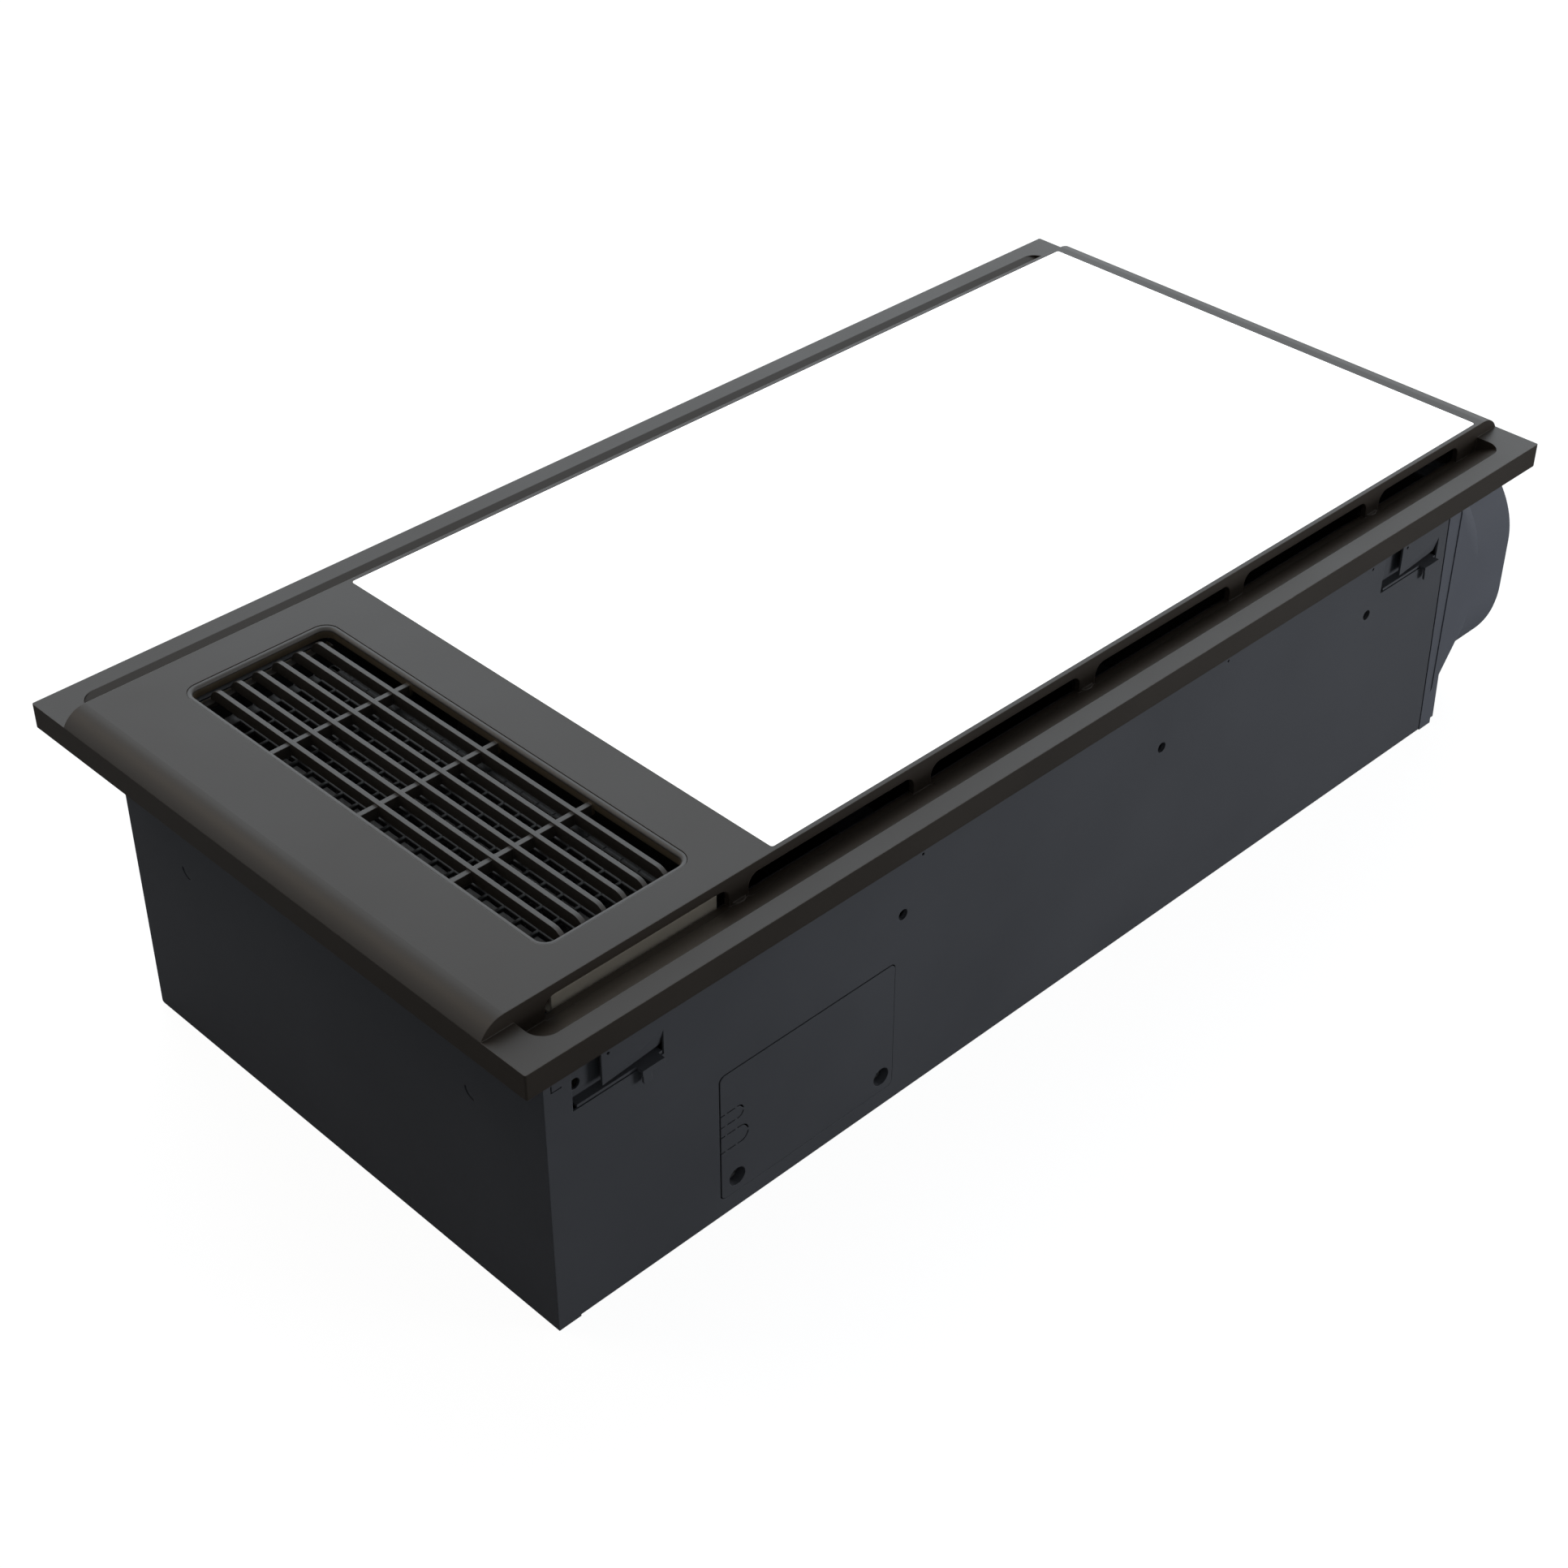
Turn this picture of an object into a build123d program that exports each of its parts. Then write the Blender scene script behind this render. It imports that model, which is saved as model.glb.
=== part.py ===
"""Bathroom ceiling heater with a heated air outlet, a flat light and an extract fan.

The unit lies on its back: X runs along the long side from the heated air outlet to the duct
outlet, Y across, and Z from the middle of the housing's back towards the room. Millimetres.
"""

import os
from math import acos, degrees, radians, sin, sqrt

from build123d import *

os.makedirs("parts", exist_ok=True)

# Clearances and fits
seam = 0.2
seat_gap = 0.3
screw_fit = 0.05
running_fit = 0.05
quarter = 90.0

# Face panel
panel_length = 600.0
panel_width = 300.0
panel_wall = 2.5
panel_lip = 0.5
rim_height = 11.5
crown_rise = 6.5
crown_inset = 23.0
crown_end_radius = 12.0
panel_corner = 0.8
trough_end_inset = 14.5
trough_width = 14.0
trough_depth = 7.1
trough_corner = 8.0
slot_count = 6
slot_pitch = 96.4
slot_length = 87.0
slot_height = 9.0
slot_corner = 5.0
first_slot_inset = 28.0
last_slot_length = 60.5
boss_radius = 4.0
boss_height = 5.5

# Flat light in the crown
light_grille_gap = 25.0
light_side_inset = 2.2
light_end_inset = 15.2
light_corner = 1.0
diffuser_thickness = 2.2
light_ledge_width = 6.8
light_ledge_thickness = 2.2
guide_plate_thickness = 3.0
guide_plate_margin = 3.2
reflector_thickness = 0.5
light_strip_thickness = 1.6
tray_sheet = 0.8
tray_flange = 5.0
tray_screw_count = 3
tray_screw_radius = 1.0
tray_screw_head = 1.8

# Heated air outlet in the crown
grille_width = 71.9
grille_end_inset = 41.5
grille_near_inset = 16.0
grille_far_inset = 19.0
grille_corner = 7.0
collar_wall = 2.4
collar_depth = 4.6
collar_round = 1.5
collar_flange_width = 2.5
collar_flange_thickness = 1.4
long_bar_count = 6
long_bar_pitch = 9.8
long_bar_width = 2.0
long_bar_height = 5.5
long_bar_drop = 2.0
long_bar_end_gap = 2.6
long_bar_end_radius = 7.0
first_bar_inset = 12.7
cross_bar_pitch = 54.5
cross_bar_width = 2.3
cross_bar_drop = 3.0
cross_bar_height = 5.0
end_rail_width = 4.0

# Guard mesh under the outlet
guard_thickness = 2.0
guard_rib_long = 2.75
guard_rib_short = 1.6
guard_row_pitch = 9.5
guard_rows_missing = 2
guard_rim = 2.0
guard_far_rim = 5.0
guard_corner_cut = 9.0

# Housing
housing_height = 145.0
housing_sheet = 1.0
housing_outlet_inset = 22.4
housing_duct_inset = 27.3
housing_side_inset = 20.0
housing_end_lean = 0.04
housing_flange = 10.0
housing_bend = 1.2
corner_foot_length = 10.8
side_hole_drop = 49.0
side_hole_radius = 2.5
side_hole_outlet_inset = 182.1
side_hole_duct_insets = (209.5, 63.5)
dot_drop = 24.7
dot_radius = 0.7
dot_outlet_insets = (30.1, 192.5)
dot_duct_insets = (167.9, 63.5, 37.1)
lance_radius = 4.5
lance_slit = 1.2
lance_drop = 50.6
lance_side_inset = 41.0
corner_slit_inset = 3.3
corner_slit_drop = 27.0
corner_slit_height = 3.5
corner_slit_length = 5.0
corner_slit_width = 0.6

# Ceiling catches
catch_outlet_inset = 14.6
catch_duct_inset = 52.7
catch_drop = 41.0
catch_sheet = 1.2
catch_setback = 4.5
catch_length = 41.0
catch_height = 31.0
catch_tab_start = 28.5
catch_tab_length = 10.8
catch_tab_reach = 3.2
catch_skirt_sheet = 1.0
catch_skirt_depth = 1.5
catch_hook_width = 4.0
catch_hook_depth = 4.3
catch_hook_round = 1.5
catch_hole_radius = 2.5
catch_hole_inset = 3.0
catch_hole_height = 6.8
catch_pin_radius = 1.5
catch_knuckle_wall = 1.05
catch_pin_back = 5.5
catch_lug_sheet = 1.5
catch_lug_length = 11.0
catch_window_length = 14.0
catch_window_lead = 1.8
catch_window_drop = 20.0
catch_slot_clear = 0.5
catch_slot_height = 3.5
catch_slot_length = 41.6
catch_dent_depth = 2.0
catch_dent_height = 8.0
catch_stop_radius = 2.0

# Wiring hatch
cover_outlet_inset = 83.6
cover_low = 9.0
cover_length = 95.0
cover_height = 64.0
cover_corner = 2.6
cover_gap_wide = 0.8
cover_gap_tight = 0.2
cover_screw_inset_left = 8.2
cover_screw_inset_right = 6.4
cover_screw_rise = 7.7
cover_cup_radius = 4.3
cover_cup_depth = 5.0
cover_cup_wall = 0.9
cover_screw_radius = 1.5
cover_screw_head = 3.2
cover_screw_length = 8.0
knockout_low_rise = 24.6
knockout_low_height = 8.9
knockout_low_reach = 14.6
knockout_high_rise = 37.9
knockout_high_height = 6.7
knockout_high_reach = 12.2
knockout_slit = 0.7
knockout_tie = 1.1
knockout_first_tie = 2.6
knockout_second_tie = 8.0
wiring_box_wall = 1.5
wiring_box_depth = 32.0
wiring_box_inset = 8.0
wiring_hole_radius = 7.0
cord_recess_depth = 12.0

# Duct adaptor
slab_thickness = 11.9
slab_lean = 0.045
slab_width = 140.0
slab_top_drop = 2.0
slab_foot_height = 3.0
slab_foot_step = 2.0
slab_screw_side = 8.0
slab_screw_end = 6.5
slab_boss_radius = 7.0
adaptor_wall = 2.5
duct_low = 13.0
duct_top_drop = 12.0
duct_side_gap = 0.6
duct_mouth_corner = 11.0
duct_corner = 46.0
taper_start_reach = 5.3
taper_end_reach = 26.3
spigot_reach = 54.3
spigot_lip = 2.0
spigot_lip_step = 0.8
duct_gasket_thickness = 1.0
duct_gasket_inset = 1.0
gasket_thickness = 1.5
gasket_width = 8.0

# Backdraft flap
flap_seat_reach = 11.3
flap_seat_thickness = 2.0
flap_seat_width = 6.0
flap_gap = 3.0
flap_thickness = 1.5
flap_pin_radius = 1.5
flap_pin_drop = 39.0
flap_pin_clear = 3.2
flap_knuckle_radius = 2.8
flap_knuckle_length = 14.0
flap_knuckle_spread = 52.0
flap_ear_spread = 76.0
flap_ear_thickness = 3.0
flap_ear_wall = 1.0
flap_rib_height = 2.0
flap_spring_length = 16.0
flap_spring_wire = 0.8

# Heater module
box_sheet = 0.8
box_outlet_gap = 10.6
box_length = 78.0
box_near_gap = 15.0
box_flange_side = 6.0
box_flange_duct_side = 8.0
box_lip_inset = 1.2
box_lip_drop = 2.5
box_screw_inset = 12.0
element_width = 68.0
element_height = 18.0
element_drop = 16.6
tube_count = 4
tube_width = 7.0
fin_sheet = 0.6
fin_folds = 36
end_cap_length = 9.0
end_cap_lip = 3.0
spade_width = 6.3
spade_thickness = 0.8
spade_length = 15.0
spade_spacing = 18.0
cutout_radius = 8.0
cutout_depth = 9.0
fuse_radius = 2.2
fuse_length = 14.0

# Warm air blower, axis along Y
warm_outlet_run = 83.0
warm_floor_gap = 3.0
warm_top_drop = 7.0
warm_near_gap = 54.0
warm_blade_depth = 9.0
warm_blade_count = 30
warm_wheel_end_gap = 8.0
warm_scroll_wall = 2.0
warm_scroll_step = 7.0
warm_tip_gap = 3.0
warm_tongue_drop = 18.0
warm_tongue_radius = 3.0
warm_inlet_inset = 8.0
warm_motor_radius = 34.0
warm_motor_length = 38.0
warm_motor_gap = 11.0
warm_motor_end_gap = 5.0
warm_shaft_radius = 4.0
bush_wall = 3.0
bush_length = 7.0
spoke_width = 6.0
warm_hub_length = 20.0
warm_foot_width = 14.0
warm_foot_reach = 9.0
warm_foot_spread = 48.0

# Extract blower, axis along Z
vent_axis_inset = 122.7
vent_near_gap = 9.0
vent_far_gap = 25.0
vent_base = 12.0
vent_top_drop = 35.0
vent_wall = 2.0
vent_blade_depth = 12.0
vent_blade_count = 32
vent_wheel_gap = 6.0
vent_wheel_head_gap = 10.0
vent_scroll_step = 18.0
vent_tip_gap = 4.0
vent_outlet_width = 96.0
vent_tongue_radius = 4.0
vent_inlet_inset = 10.0
vent_motor_side_gap = 14.0
vent_motor_height = 40.0
vent_hub_radius = 10.0
vent_hub_height = 20.0
vent_dish_sheet = 2.0
vent_shaft_radius = 4.0
mount_radius = 8.0
mount_flange = 3.5
mount_inset_x = 50.0
mount_inset_y = 55.0
mount_waist = 2.0
vent_strap_reach = 64.0
vent_strap_screw = 6.0

# Wheels of both blowers
blade_sheet = 1.2
ring_height = 3.0
wheel_disc = 2.0
motor_round = 3.0

# Controls in the middle of the housing
board_x = 0.0
board_near_gap = 11.0
board_mid_gap = 10.0
board_width = 60.0
board_thickness = 1.6
standoff_height = 6.0
standoff_radius = 3.0
standoff_inset = 4.0
relay_count = 4
relay_length = 19.0
relay_width = 15.5
relay_height = 15.5
relay_pitch = 22.0
driver_mid_gap = 14.0
driver_far_gap = 17.0
driver_width = 52.0
driver_height = 26.0
capacitor_length = 38.0
capacitor_width = 14.0
capacitor_height = 28.0
terminal_length = 42.0
terminal_width = 14.0
terminal_height = 16.0
terminal_poles = 4
clamp_length = 24.0
clamp_width = 8.0
clamp_thickness = 3.0

# Small screws
screw_radius = 1.5
screw_head_radius = 3.0
screw_head_height = 2.0
bracket_sheet = 1.2
bracket_width = 20.0
bracket_tab = 8.0
bracket_margin = 5.0
foot_length = 12.0
foot_sheet = 2.0

# Levels and planes worked out from the sizes above
rim_z = housing_height + rim_height
top_z = rim_z + crown_rise
half_length = panel_length / 2
half_width = panel_width / 2
crown_half = half_width - crown_inset
crown_inside = crown_half - panel_wall
ceiling_z = top_z - panel_wall
trough_low = rim_z - trough_depth
trough_half = half_length - trough_end_inset
crown_arc_x = half_length - sqrt(crown_end_radius**2 - (crown_end_radius - crown_rise) ** 2)
crown_arc_z = top_z - crown_end_radius

wall_outlet = -half_length + housing_outlet_inset
wall_duct = half_length - housing_duct_inset
wall_side = half_width - housing_side_inset
wall_inside = wall_side - housing_sheet
floor_z = housing_sheet
flange_low = housing_height - housing_sheet
side_hole_z = housing_height - side_hole_drop
side_holes_x = [wall_outlet + side_hole_outlet_inset]
side_holes_x += [wall_duct - inset for inset in side_hole_duct_insets]
dots_x = [wall_outlet + inset for inset in dot_outlet_insets]
dots_x += [wall_duct - inset for inset in dot_duct_insets]
cover_x = wall_outlet + cover_outlet_inset

grille_x0 = -half_length + grille_end_inset
grille_x1 = grille_x0 + grille_width
grille_y0 = -crown_half + grille_near_inset
grille_y1 = crown_half - grille_far_inset
grille_y = (grille_y0 + grille_y1) / 2
grille_length = grille_y1 - grille_y0
collar_top = top_z - seam
collar_low = collar_top - collar_depth
bar_top = top_z - long_bar_drop
bar_half = grille_length / 2 - long_bar_end_gap
bar_places = [grille_x0 + first_bar_inset + i * long_bar_pitch for i in range(long_bar_count)]
rail_low = bar_top - long_bar_height - long_bar_width - seat_gap * 2

light_x1 = half_length - light_end_inset
light_x0 = grille_x1 + light_grille_gap
light_half = crown_half - light_side_inset
diffuser_low = top_z - diffuser_thickness
ledge_low = diffuser_low - light_ledge_thickness
guide_top = diffuser_low - seat_gap
guide_low = guide_top - guide_plate_thickness
reflector_low = guide_low - reflector_thickness
tray_low = reflector_low - tray_sheet
tray_half = light_half - light_ledge_width - seat_gap * 2
tray_x0 = light_x0 + light_ledge_width + seat_gap * 2
tray_x1 = light_x1 - light_ledge_width - seat_gap * 2
tray_screw_row = tray_sheet + seat_gap + tray_screw_head
tray_screw_pitch = (tray_x1 - tray_x0) / tray_screw_count
tray_screw_places = [
    (tray_x0 + (i + 0.5) * tray_screw_pitch, side * (tray_half + tray_screw_row))
    for side in (-1, 1)
    for i in range(tray_screw_count)
] + [(tray_x0 - tray_screw_row, 0.0), (tray_x1 + tray_screw_row, 0.0)]

guard_rows_near = int(grille_length / 2 / guard_row_pitch)
guard_rows_far = guard_rows_near - guard_rows_missing
guard_top = rail_low - seat_gap
guard_low = guard_top - guard_thickness
guard_x0 = bar_places[0] - long_bar_pitch - guard_rib_long * 2
guard_x1 = bar_places[-1] + guard_rib_long / 2
guard_y0 = grille_y - (guard_rows_near + 0.5) * guard_row_pitch - guard_rim
guard_y1 = grille_y + (guard_rows_far + 0.5) * guard_row_pitch + guard_far_rim

box_top = guard_low
box_x0 = wall_outlet + box_outlet_gap + housing_sheet
box_x1 = box_x0 + box_length
box_near_y = -wall_inside + box_near_gap
box_far_y = guard_y1
box_screw_places = [
    (x, y)
    for x in (box_x0 + box_screw_inset, box_x1 - box_screw_inset)
    for y in (box_near_y + box_screw_inset, box_far_y - box_screw_inset)
]
element_top = box_top - element_drop
element_near_y = box_near_y + box_sheet + seat_gap + end_cap_length
element_far_y = box_far_y - box_sheet - seat_gap - end_cap_length

warm_x = box_x1 + warm_outlet_run
warm_low = floor_z + warm_floor_gap
warm_growth = 4 * warm_scroll_step
warm_reach = (housing_height - warm_top_drop - warm_low - warm_growth) / 2
warm_wheel_radius = warm_reach - warm_tip_gap - warm_scroll_wall
warm_wheel_bore = warm_wheel_radius - warm_blade_depth
warm_inlet_radius = warm_wheel_radius - warm_inlet_inset
warm_z = warm_low + 3 * warm_scroll_step + warm_reach
warm_outlet_top = warm_z - warm_tongue_drop
warm_scroll_y0 = -wall_inside + warm_near_gap
warm_scroll_y1 = wall_inside - warm_motor_end_gap - warm_motor_length - warm_motor_gap
warm_scroll_length = warm_scroll_y1 - warm_scroll_y0
warm_y = (warm_scroll_y0 + warm_scroll_y1) / 2
warm_feet_x = [warm_x - warm_foot_reach - i * warm_foot_spread for i in (0, 1)]
warm_screw_places = [
    (x, y)
    for x in warm_feet_x
    for y in (warm_scroll_y0 - foot_length / 2, warm_scroll_y1 + foot_length / 2)
]

vent_x = wall_duct - vent_axis_inset
vent_growth = 4 * vent_scroll_step
vent_reach = (2 * wall_inside - vent_near_gap - vent_far_gap - vent_growth) / 2
vent_wheel_radius = vent_reach - vent_tip_gap - vent_wall
vent_wheel_bore = vent_wheel_radius - vent_blade_depth
vent_inlet_radius = vent_wheel_radius - vent_inlet_inset
vent_motor_radius = vent_wheel_bore - vent_motor_side_gap
port_y0 = -wall_inside + vent_near_gap
port_y1 = port_y0 + vent_outlet_width
vent_y = port_y0 + 3 * vent_scroll_step + vent_reach
vent_top = housing_height - vent_top_drop
vent_scroll_height = vent_top - vent_base
vent_strap_y = port_y0 + vent_strap_reach
vent_screw_places = [
    (vent_x + i * mount_inset_x, vent_y + j * mount_inset_y) for i in (-1, 1) for j in (-1, 1)
]

slab_y0 = -wall_side
slab_y1 = slab_y0 + slab_width
slab_top = housing_height - slab_top_drop
duct_size = slab_top - duct_low - duct_top_drop
taper_start = wall_duct + taper_start_reach
taper_end = wall_duct + taper_end_reach
spigot_end = wall_duct + spigot_reach
flap_seat_x = wall_duct + flap_seat_reach
adaptor_screw_places = [
    (y, z)
    for y in (slab_y0 + slab_screw_side, slab_y1 - slab_screw_side)
    for z in (slab_screw_end, slab_top - slab_screw_end)
]


def duct_wall_x(z):
    """Place of the housing's leaning end wall at a height."""
    return wall_duct - housing_end_lean * z


def slab_face_x(z):
    """Place of the duct adaptor's outer slab face at a height."""
    return wall_duct + slab_thickness - slab_lean * z


def block(x0, x1, y0, y1, z0, z1, mode=Mode.ADD):
    """A block between two corners."""
    with Locations(((x0 + x1) / 2, (y0 + y1) / 2, (z0 + z1) / 2)):
        Box(x1 - x0, y1 - y0, z1 - z0, mode=mode)


def rod(start, direction, radius, length, mode=Mode.ADD):
    """A round bar from a start point along a direction."""
    with Locations(Plane(origin=start, z_dir=direction)):
        Cylinder(radius, length, align=(Align.CENTER, Align.CENTER, Align.MIN), mode=mode)


def round_slab(x0, x1, y0, y1, z0, z1, corner, mode=Mode.ADD, taper=0.0):
    """A slab with rounded corners in plan."""
    with BuildSketch(Plane.XY.offset(z0)) as plan:
        with Locations(((x0 + x1) / 2, (y0 + y1) / 2)):
            RectangleRounded(x1 - x0, y1 - y0, corner)
    extrude(plan.sketch, amount=z1 - z0, taper=taper, mode=mode)


def prism(plane, points, amount, mode=Mode.ADD):
    """An outline of straight edges pushed out from a plane."""
    with BuildSketch(plane) as outline:
        with BuildLine():
            Polyline(points, close=True)
        make_face()
    extrude(outline.sketch, amount=amount, mode=mode)


def pan_screw(tip, direction, length, shank=screw_radius, head=screw_head_radius):
    """A pan-head screw whose tip stands at a point and whose head is along a direction."""
    start = Vector(*tip)
    along = Vector(*direction)
    rod(start, along, shank, length)
    rod(start + along * length, along, head, screw_head_height)


def save(part, name):
    """Label a finished piece and write it."""
    part.label = name
    export_step(part, f"parts/{name}.step")


def crown_profile(inset, low_z):
    """The crown's long profile with rounded ends, set in by a wall thickness."""
    radius = crown_end_radius - inset
    reach = half_length - inset - crown_arc_x
    low_angle = degrees(acos(reach / radius))
    edge_x = half_length - inset
    edge_z = crown_arc_z + radius * sin(radians(low_angle))
    with BuildSketch(Plane.XZ) as profile:
        with BuildLine():
            Line((-crown_arc_x, top_z - inset), (crown_arc_x, top_z - inset))
            CenterArc((crown_arc_x, crown_arc_z), radius, low_angle, quarter - low_angle)
            Polyline((edge_x, edge_z), (edge_x, low_z), (-edge_x, low_z), (-edge_x, edge_z))
            CenterArc((-crown_arc_x, crown_arc_z), radius, quarter, quarter - low_angle)
        make_face()
    return profile.sketch


def trough_form(half, corner, section, top):
    """One sunk trough: a plan with rounded outer corners cut by a sloping section."""
    outer_y = section[1][0]
    with BuildPart() as form:
        with BuildSketch(Plane.XY.offset(section[0][1])) as plan:
            with BuildLine():
                Polyline((-half, section[0][0]), (half, section[0][0]), (half, outer_y),
                         (-half, outer_y), close=True)
            make_face()
            fillet(plan.vertices().group_by(Axis.Y)[-1], corner)
        extrude(amount=top - section[0][1])
        with BuildSketch(Plane.YZ.offset(-half)):
            with BuildLine():
                Polyline(section[0], section[1], (outer_y, top), (section[0][0], top), close=True)
            make_face()
        extrude(amount=2 * half, mode=Mode.INTERSECT)
    return form.part


# Face panel: flat rim, crown with rounded ends, a sunk intake trough along each long side
trough_far = trough_form(
    trough_half,
    trough_corner,
    [(crown_half, trough_low), (crown_half + trough_width, rim_z)],
    top_z,
)
trough_slope = trough_depth / trough_width
shell_drop = panel_wall * sqrt(1 + trough_slope**2)
shell_low = trough_low - shell_drop - panel_wall * trough_slope
shell_reach = (rim_z - panel_wall - seat_gap - shell_low) / trough_slope
trough_shell = trough_form(
    trough_half + panel_wall,
    trough_corner + panel_wall,
    [(crown_inside, shell_low), (crown_inside + shell_reach + panel_wall, rim_z)],
    top_z,
)

with BuildPart() as panel_cavity:
    block(
        -half_length + panel_wall,
        half_length - panel_wall,
        -half_width + panel_wall,
        half_width - panel_wall,
        housing_height,
        rim_z - panel_wall,
    )
    extrude(crown_profile(panel_wall, housing_height + panel_wall), amount=crown_inside, both=True)
    add(trough_shell, mode=Mode.SUBTRACT)
    mirror(trough_shell, about=Plane.XZ, mode=Mode.SUBTRACT)

boss_places = [
    (-half_length + first_slot_inset + slot_length + (slot_pitch - slot_length) / 2 + i * slot_pitch)
    for i in (0, 2, 4)
]
boss_y = wall_side - housing_flange / 2 - seat_gap

with BuildPart() as face_panel:
    with BuildSketch(Plane.XY.offset(housing_height)):
        RectangleRounded(panel_length, panel_width, panel_corner)
    extrude(amount=rim_height)
    fillet(face_panel.faces().sort_by(Axis.Z)[0].edges(), panel_lip)
    extrude(crown_profile(0.0, rim_z - panel_wall), amount=crown_half, both=True)
    add(trough_far, mode=Mode.SUBTRACT)
    mirror(trough_far, about=Plane.XZ, mode=Mode.SUBTRACT)
    add(panel_cavity.part, mode=Mode.SUBTRACT)
    # Ledge that carries the light, its recess and its opening
    block(
        light_x0 - light_ledge_width,
        light_x1 + light_ledge_width / 2,
        -crown_inside - panel_wall / 2,
        crown_inside + panel_wall / 2,
        ledge_low,
        diffuser_low,
    )
    round_slab(
        light_x0 - seam,
        light_x1 + seam,
        -light_half - seam,
        light_half + seam,
        diffuser_low,
        top_z,
        light_corner + seam,
        mode=Mode.SUBTRACT,
    )
    block(
        light_x0 + light_ledge_width,
        light_x1 - light_ledge_width,
        -light_half + light_ledge_width,
        light_half - light_ledge_width,
        ledge_low,
        top_z,
        mode=Mode.SUBTRACT,
    )
    for x, y in tray_screw_places:
        rod(
            (x, y, ledge_low),
            (0, 0, 1),
            tray_screw_radius + screw_fit,
            light_ledge_thickness,
            mode=Mode.SUBTRACT,
        )
    # Opening for the outlet grille
    round_slab(
        grille_x0,
        grille_x1,
        grille_y0,
        grille_y1,
        ceiling_z - panel_wall,
        top_z,
        grille_corner,
        mode=Mode.SUBTRACT,
    )
    # Intake slots through both crown sides, square at the trough's floor and round above
    with BuildSketch(Plane.XZ.offset(crown_inside - panel_wall / 2)) as slots:
        for i in range(slot_count):
            start = -half_length + first_slot_inset + i * slot_pitch
            length = last_slot_length if i == slot_count - 1 else slot_length
            with Locations((start, trough_low)):
                Rectangle(length, slot_height, align=(Align.MIN, Align.MIN))
        fillet(slots.vertices().group_by(Axis.Y)[-1], slot_corner)
    extrude(amount=2 * panel_wall, mode=Mode.SUBTRACT)
    mirror(extrude(slots.sketch, amount=2 * panel_wall, mode=Mode.PRIVATE), about=Plane.XZ,
           mode=Mode.SUBTRACT)
    # Screw bosses that stand on the housing's flange
    for side in (-1, 1):
        for x in boss_places:
            rod((x, side * boss_y, housing_height), (0, 0, 1), boss_radius, boss_height)
    for side in (-1, 1):
        for x in boss_places:
            rod(
                (x, side * boss_y, housing_height),
                (0, 0, 1),
                screw_radius + screw_fit,
                boss_height,
                mode=Mode.SUBTRACT,
            )
save(face_panel.part, "face_panel")

# Flat light: diffuser, guide plate, reflector, two lamp strips and a folded back tray
with BuildPart() as light_diffuser:
    round_slab(light_x0, light_x1, -light_half, light_half, diffuser_low, top_z, light_corner)
save(light_diffuser.part, "light_diffuser")

guide_half = tray_half - guide_plate_margin
with BuildPart() as light_guide_plate:
    block(
        tray_x0 + seat_gap, tray_x1 - seat_gap, -guide_half, guide_half, guide_low, guide_top
    )
save(light_guide_plate.part, "light_guide_plate")

with BuildPart() as light_reflector_sheet:
    block(
        tray_x0 + seat_gap, tray_x1 - seat_gap, -guide_half, guide_half, reflector_low, guide_low
    )
save(light_reflector_sheet.part, "light_reflector_sheet")

with BuildPart() as light_strips:
    for side in (-1, 1):
        near = side * (guide_half + seat_gap)
        away = side * (guide_half + seat_gap + light_strip_thickness)
        block(
            tray_x0 + seat_gap,
            tray_x1 - seat_gap,
            min(near, away),
            max(near, away),
            reflector_low,
            guide_top - seat_gap,
        )
save(light_strips.part, "light_strips")

with BuildPart() as light_back_tray:
    block(
        tray_x0 - tray_flange,
        tray_x1 + tray_flange,
        -tray_half - tray_flange,
        tray_half + tray_flange,
        ledge_low - tray_sheet,
        ledge_low,
    )
    block(
        tray_x0 - tray_sheet,
        tray_x1 + tray_sheet,
        -tray_half - tray_sheet,
        tray_half + tray_sheet,
        tray_low,
        ledge_low,
    )
    block(
        tray_x0, tray_x1, -tray_half, tray_half, reflector_low, ledge_low, mode=Mode.SUBTRACT
    )
    for x, y in tray_screw_places:
        rod(
            (x, y, ledge_low - tray_sheet),
            (0, 0, 1),
            tray_screw_radius + screw_fit,
            tray_sheet,
            mode=Mode.SUBTRACT,
        )
save(light_back_tray.part, "light_back_tray")

with BuildPart() as light_tray_screws:
    for x, y in tray_screw_places:
        pan_screw(
            (x, y, diffuser_low - seat_gap),
            (0, 0, -1),
            light_ledge_thickness - seat_gap + tray_sheet,
            shank=tray_screw_radius,
            head=tray_screw_head,
        )
save(light_tray_screws.part, "light_tray_screws")

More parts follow.
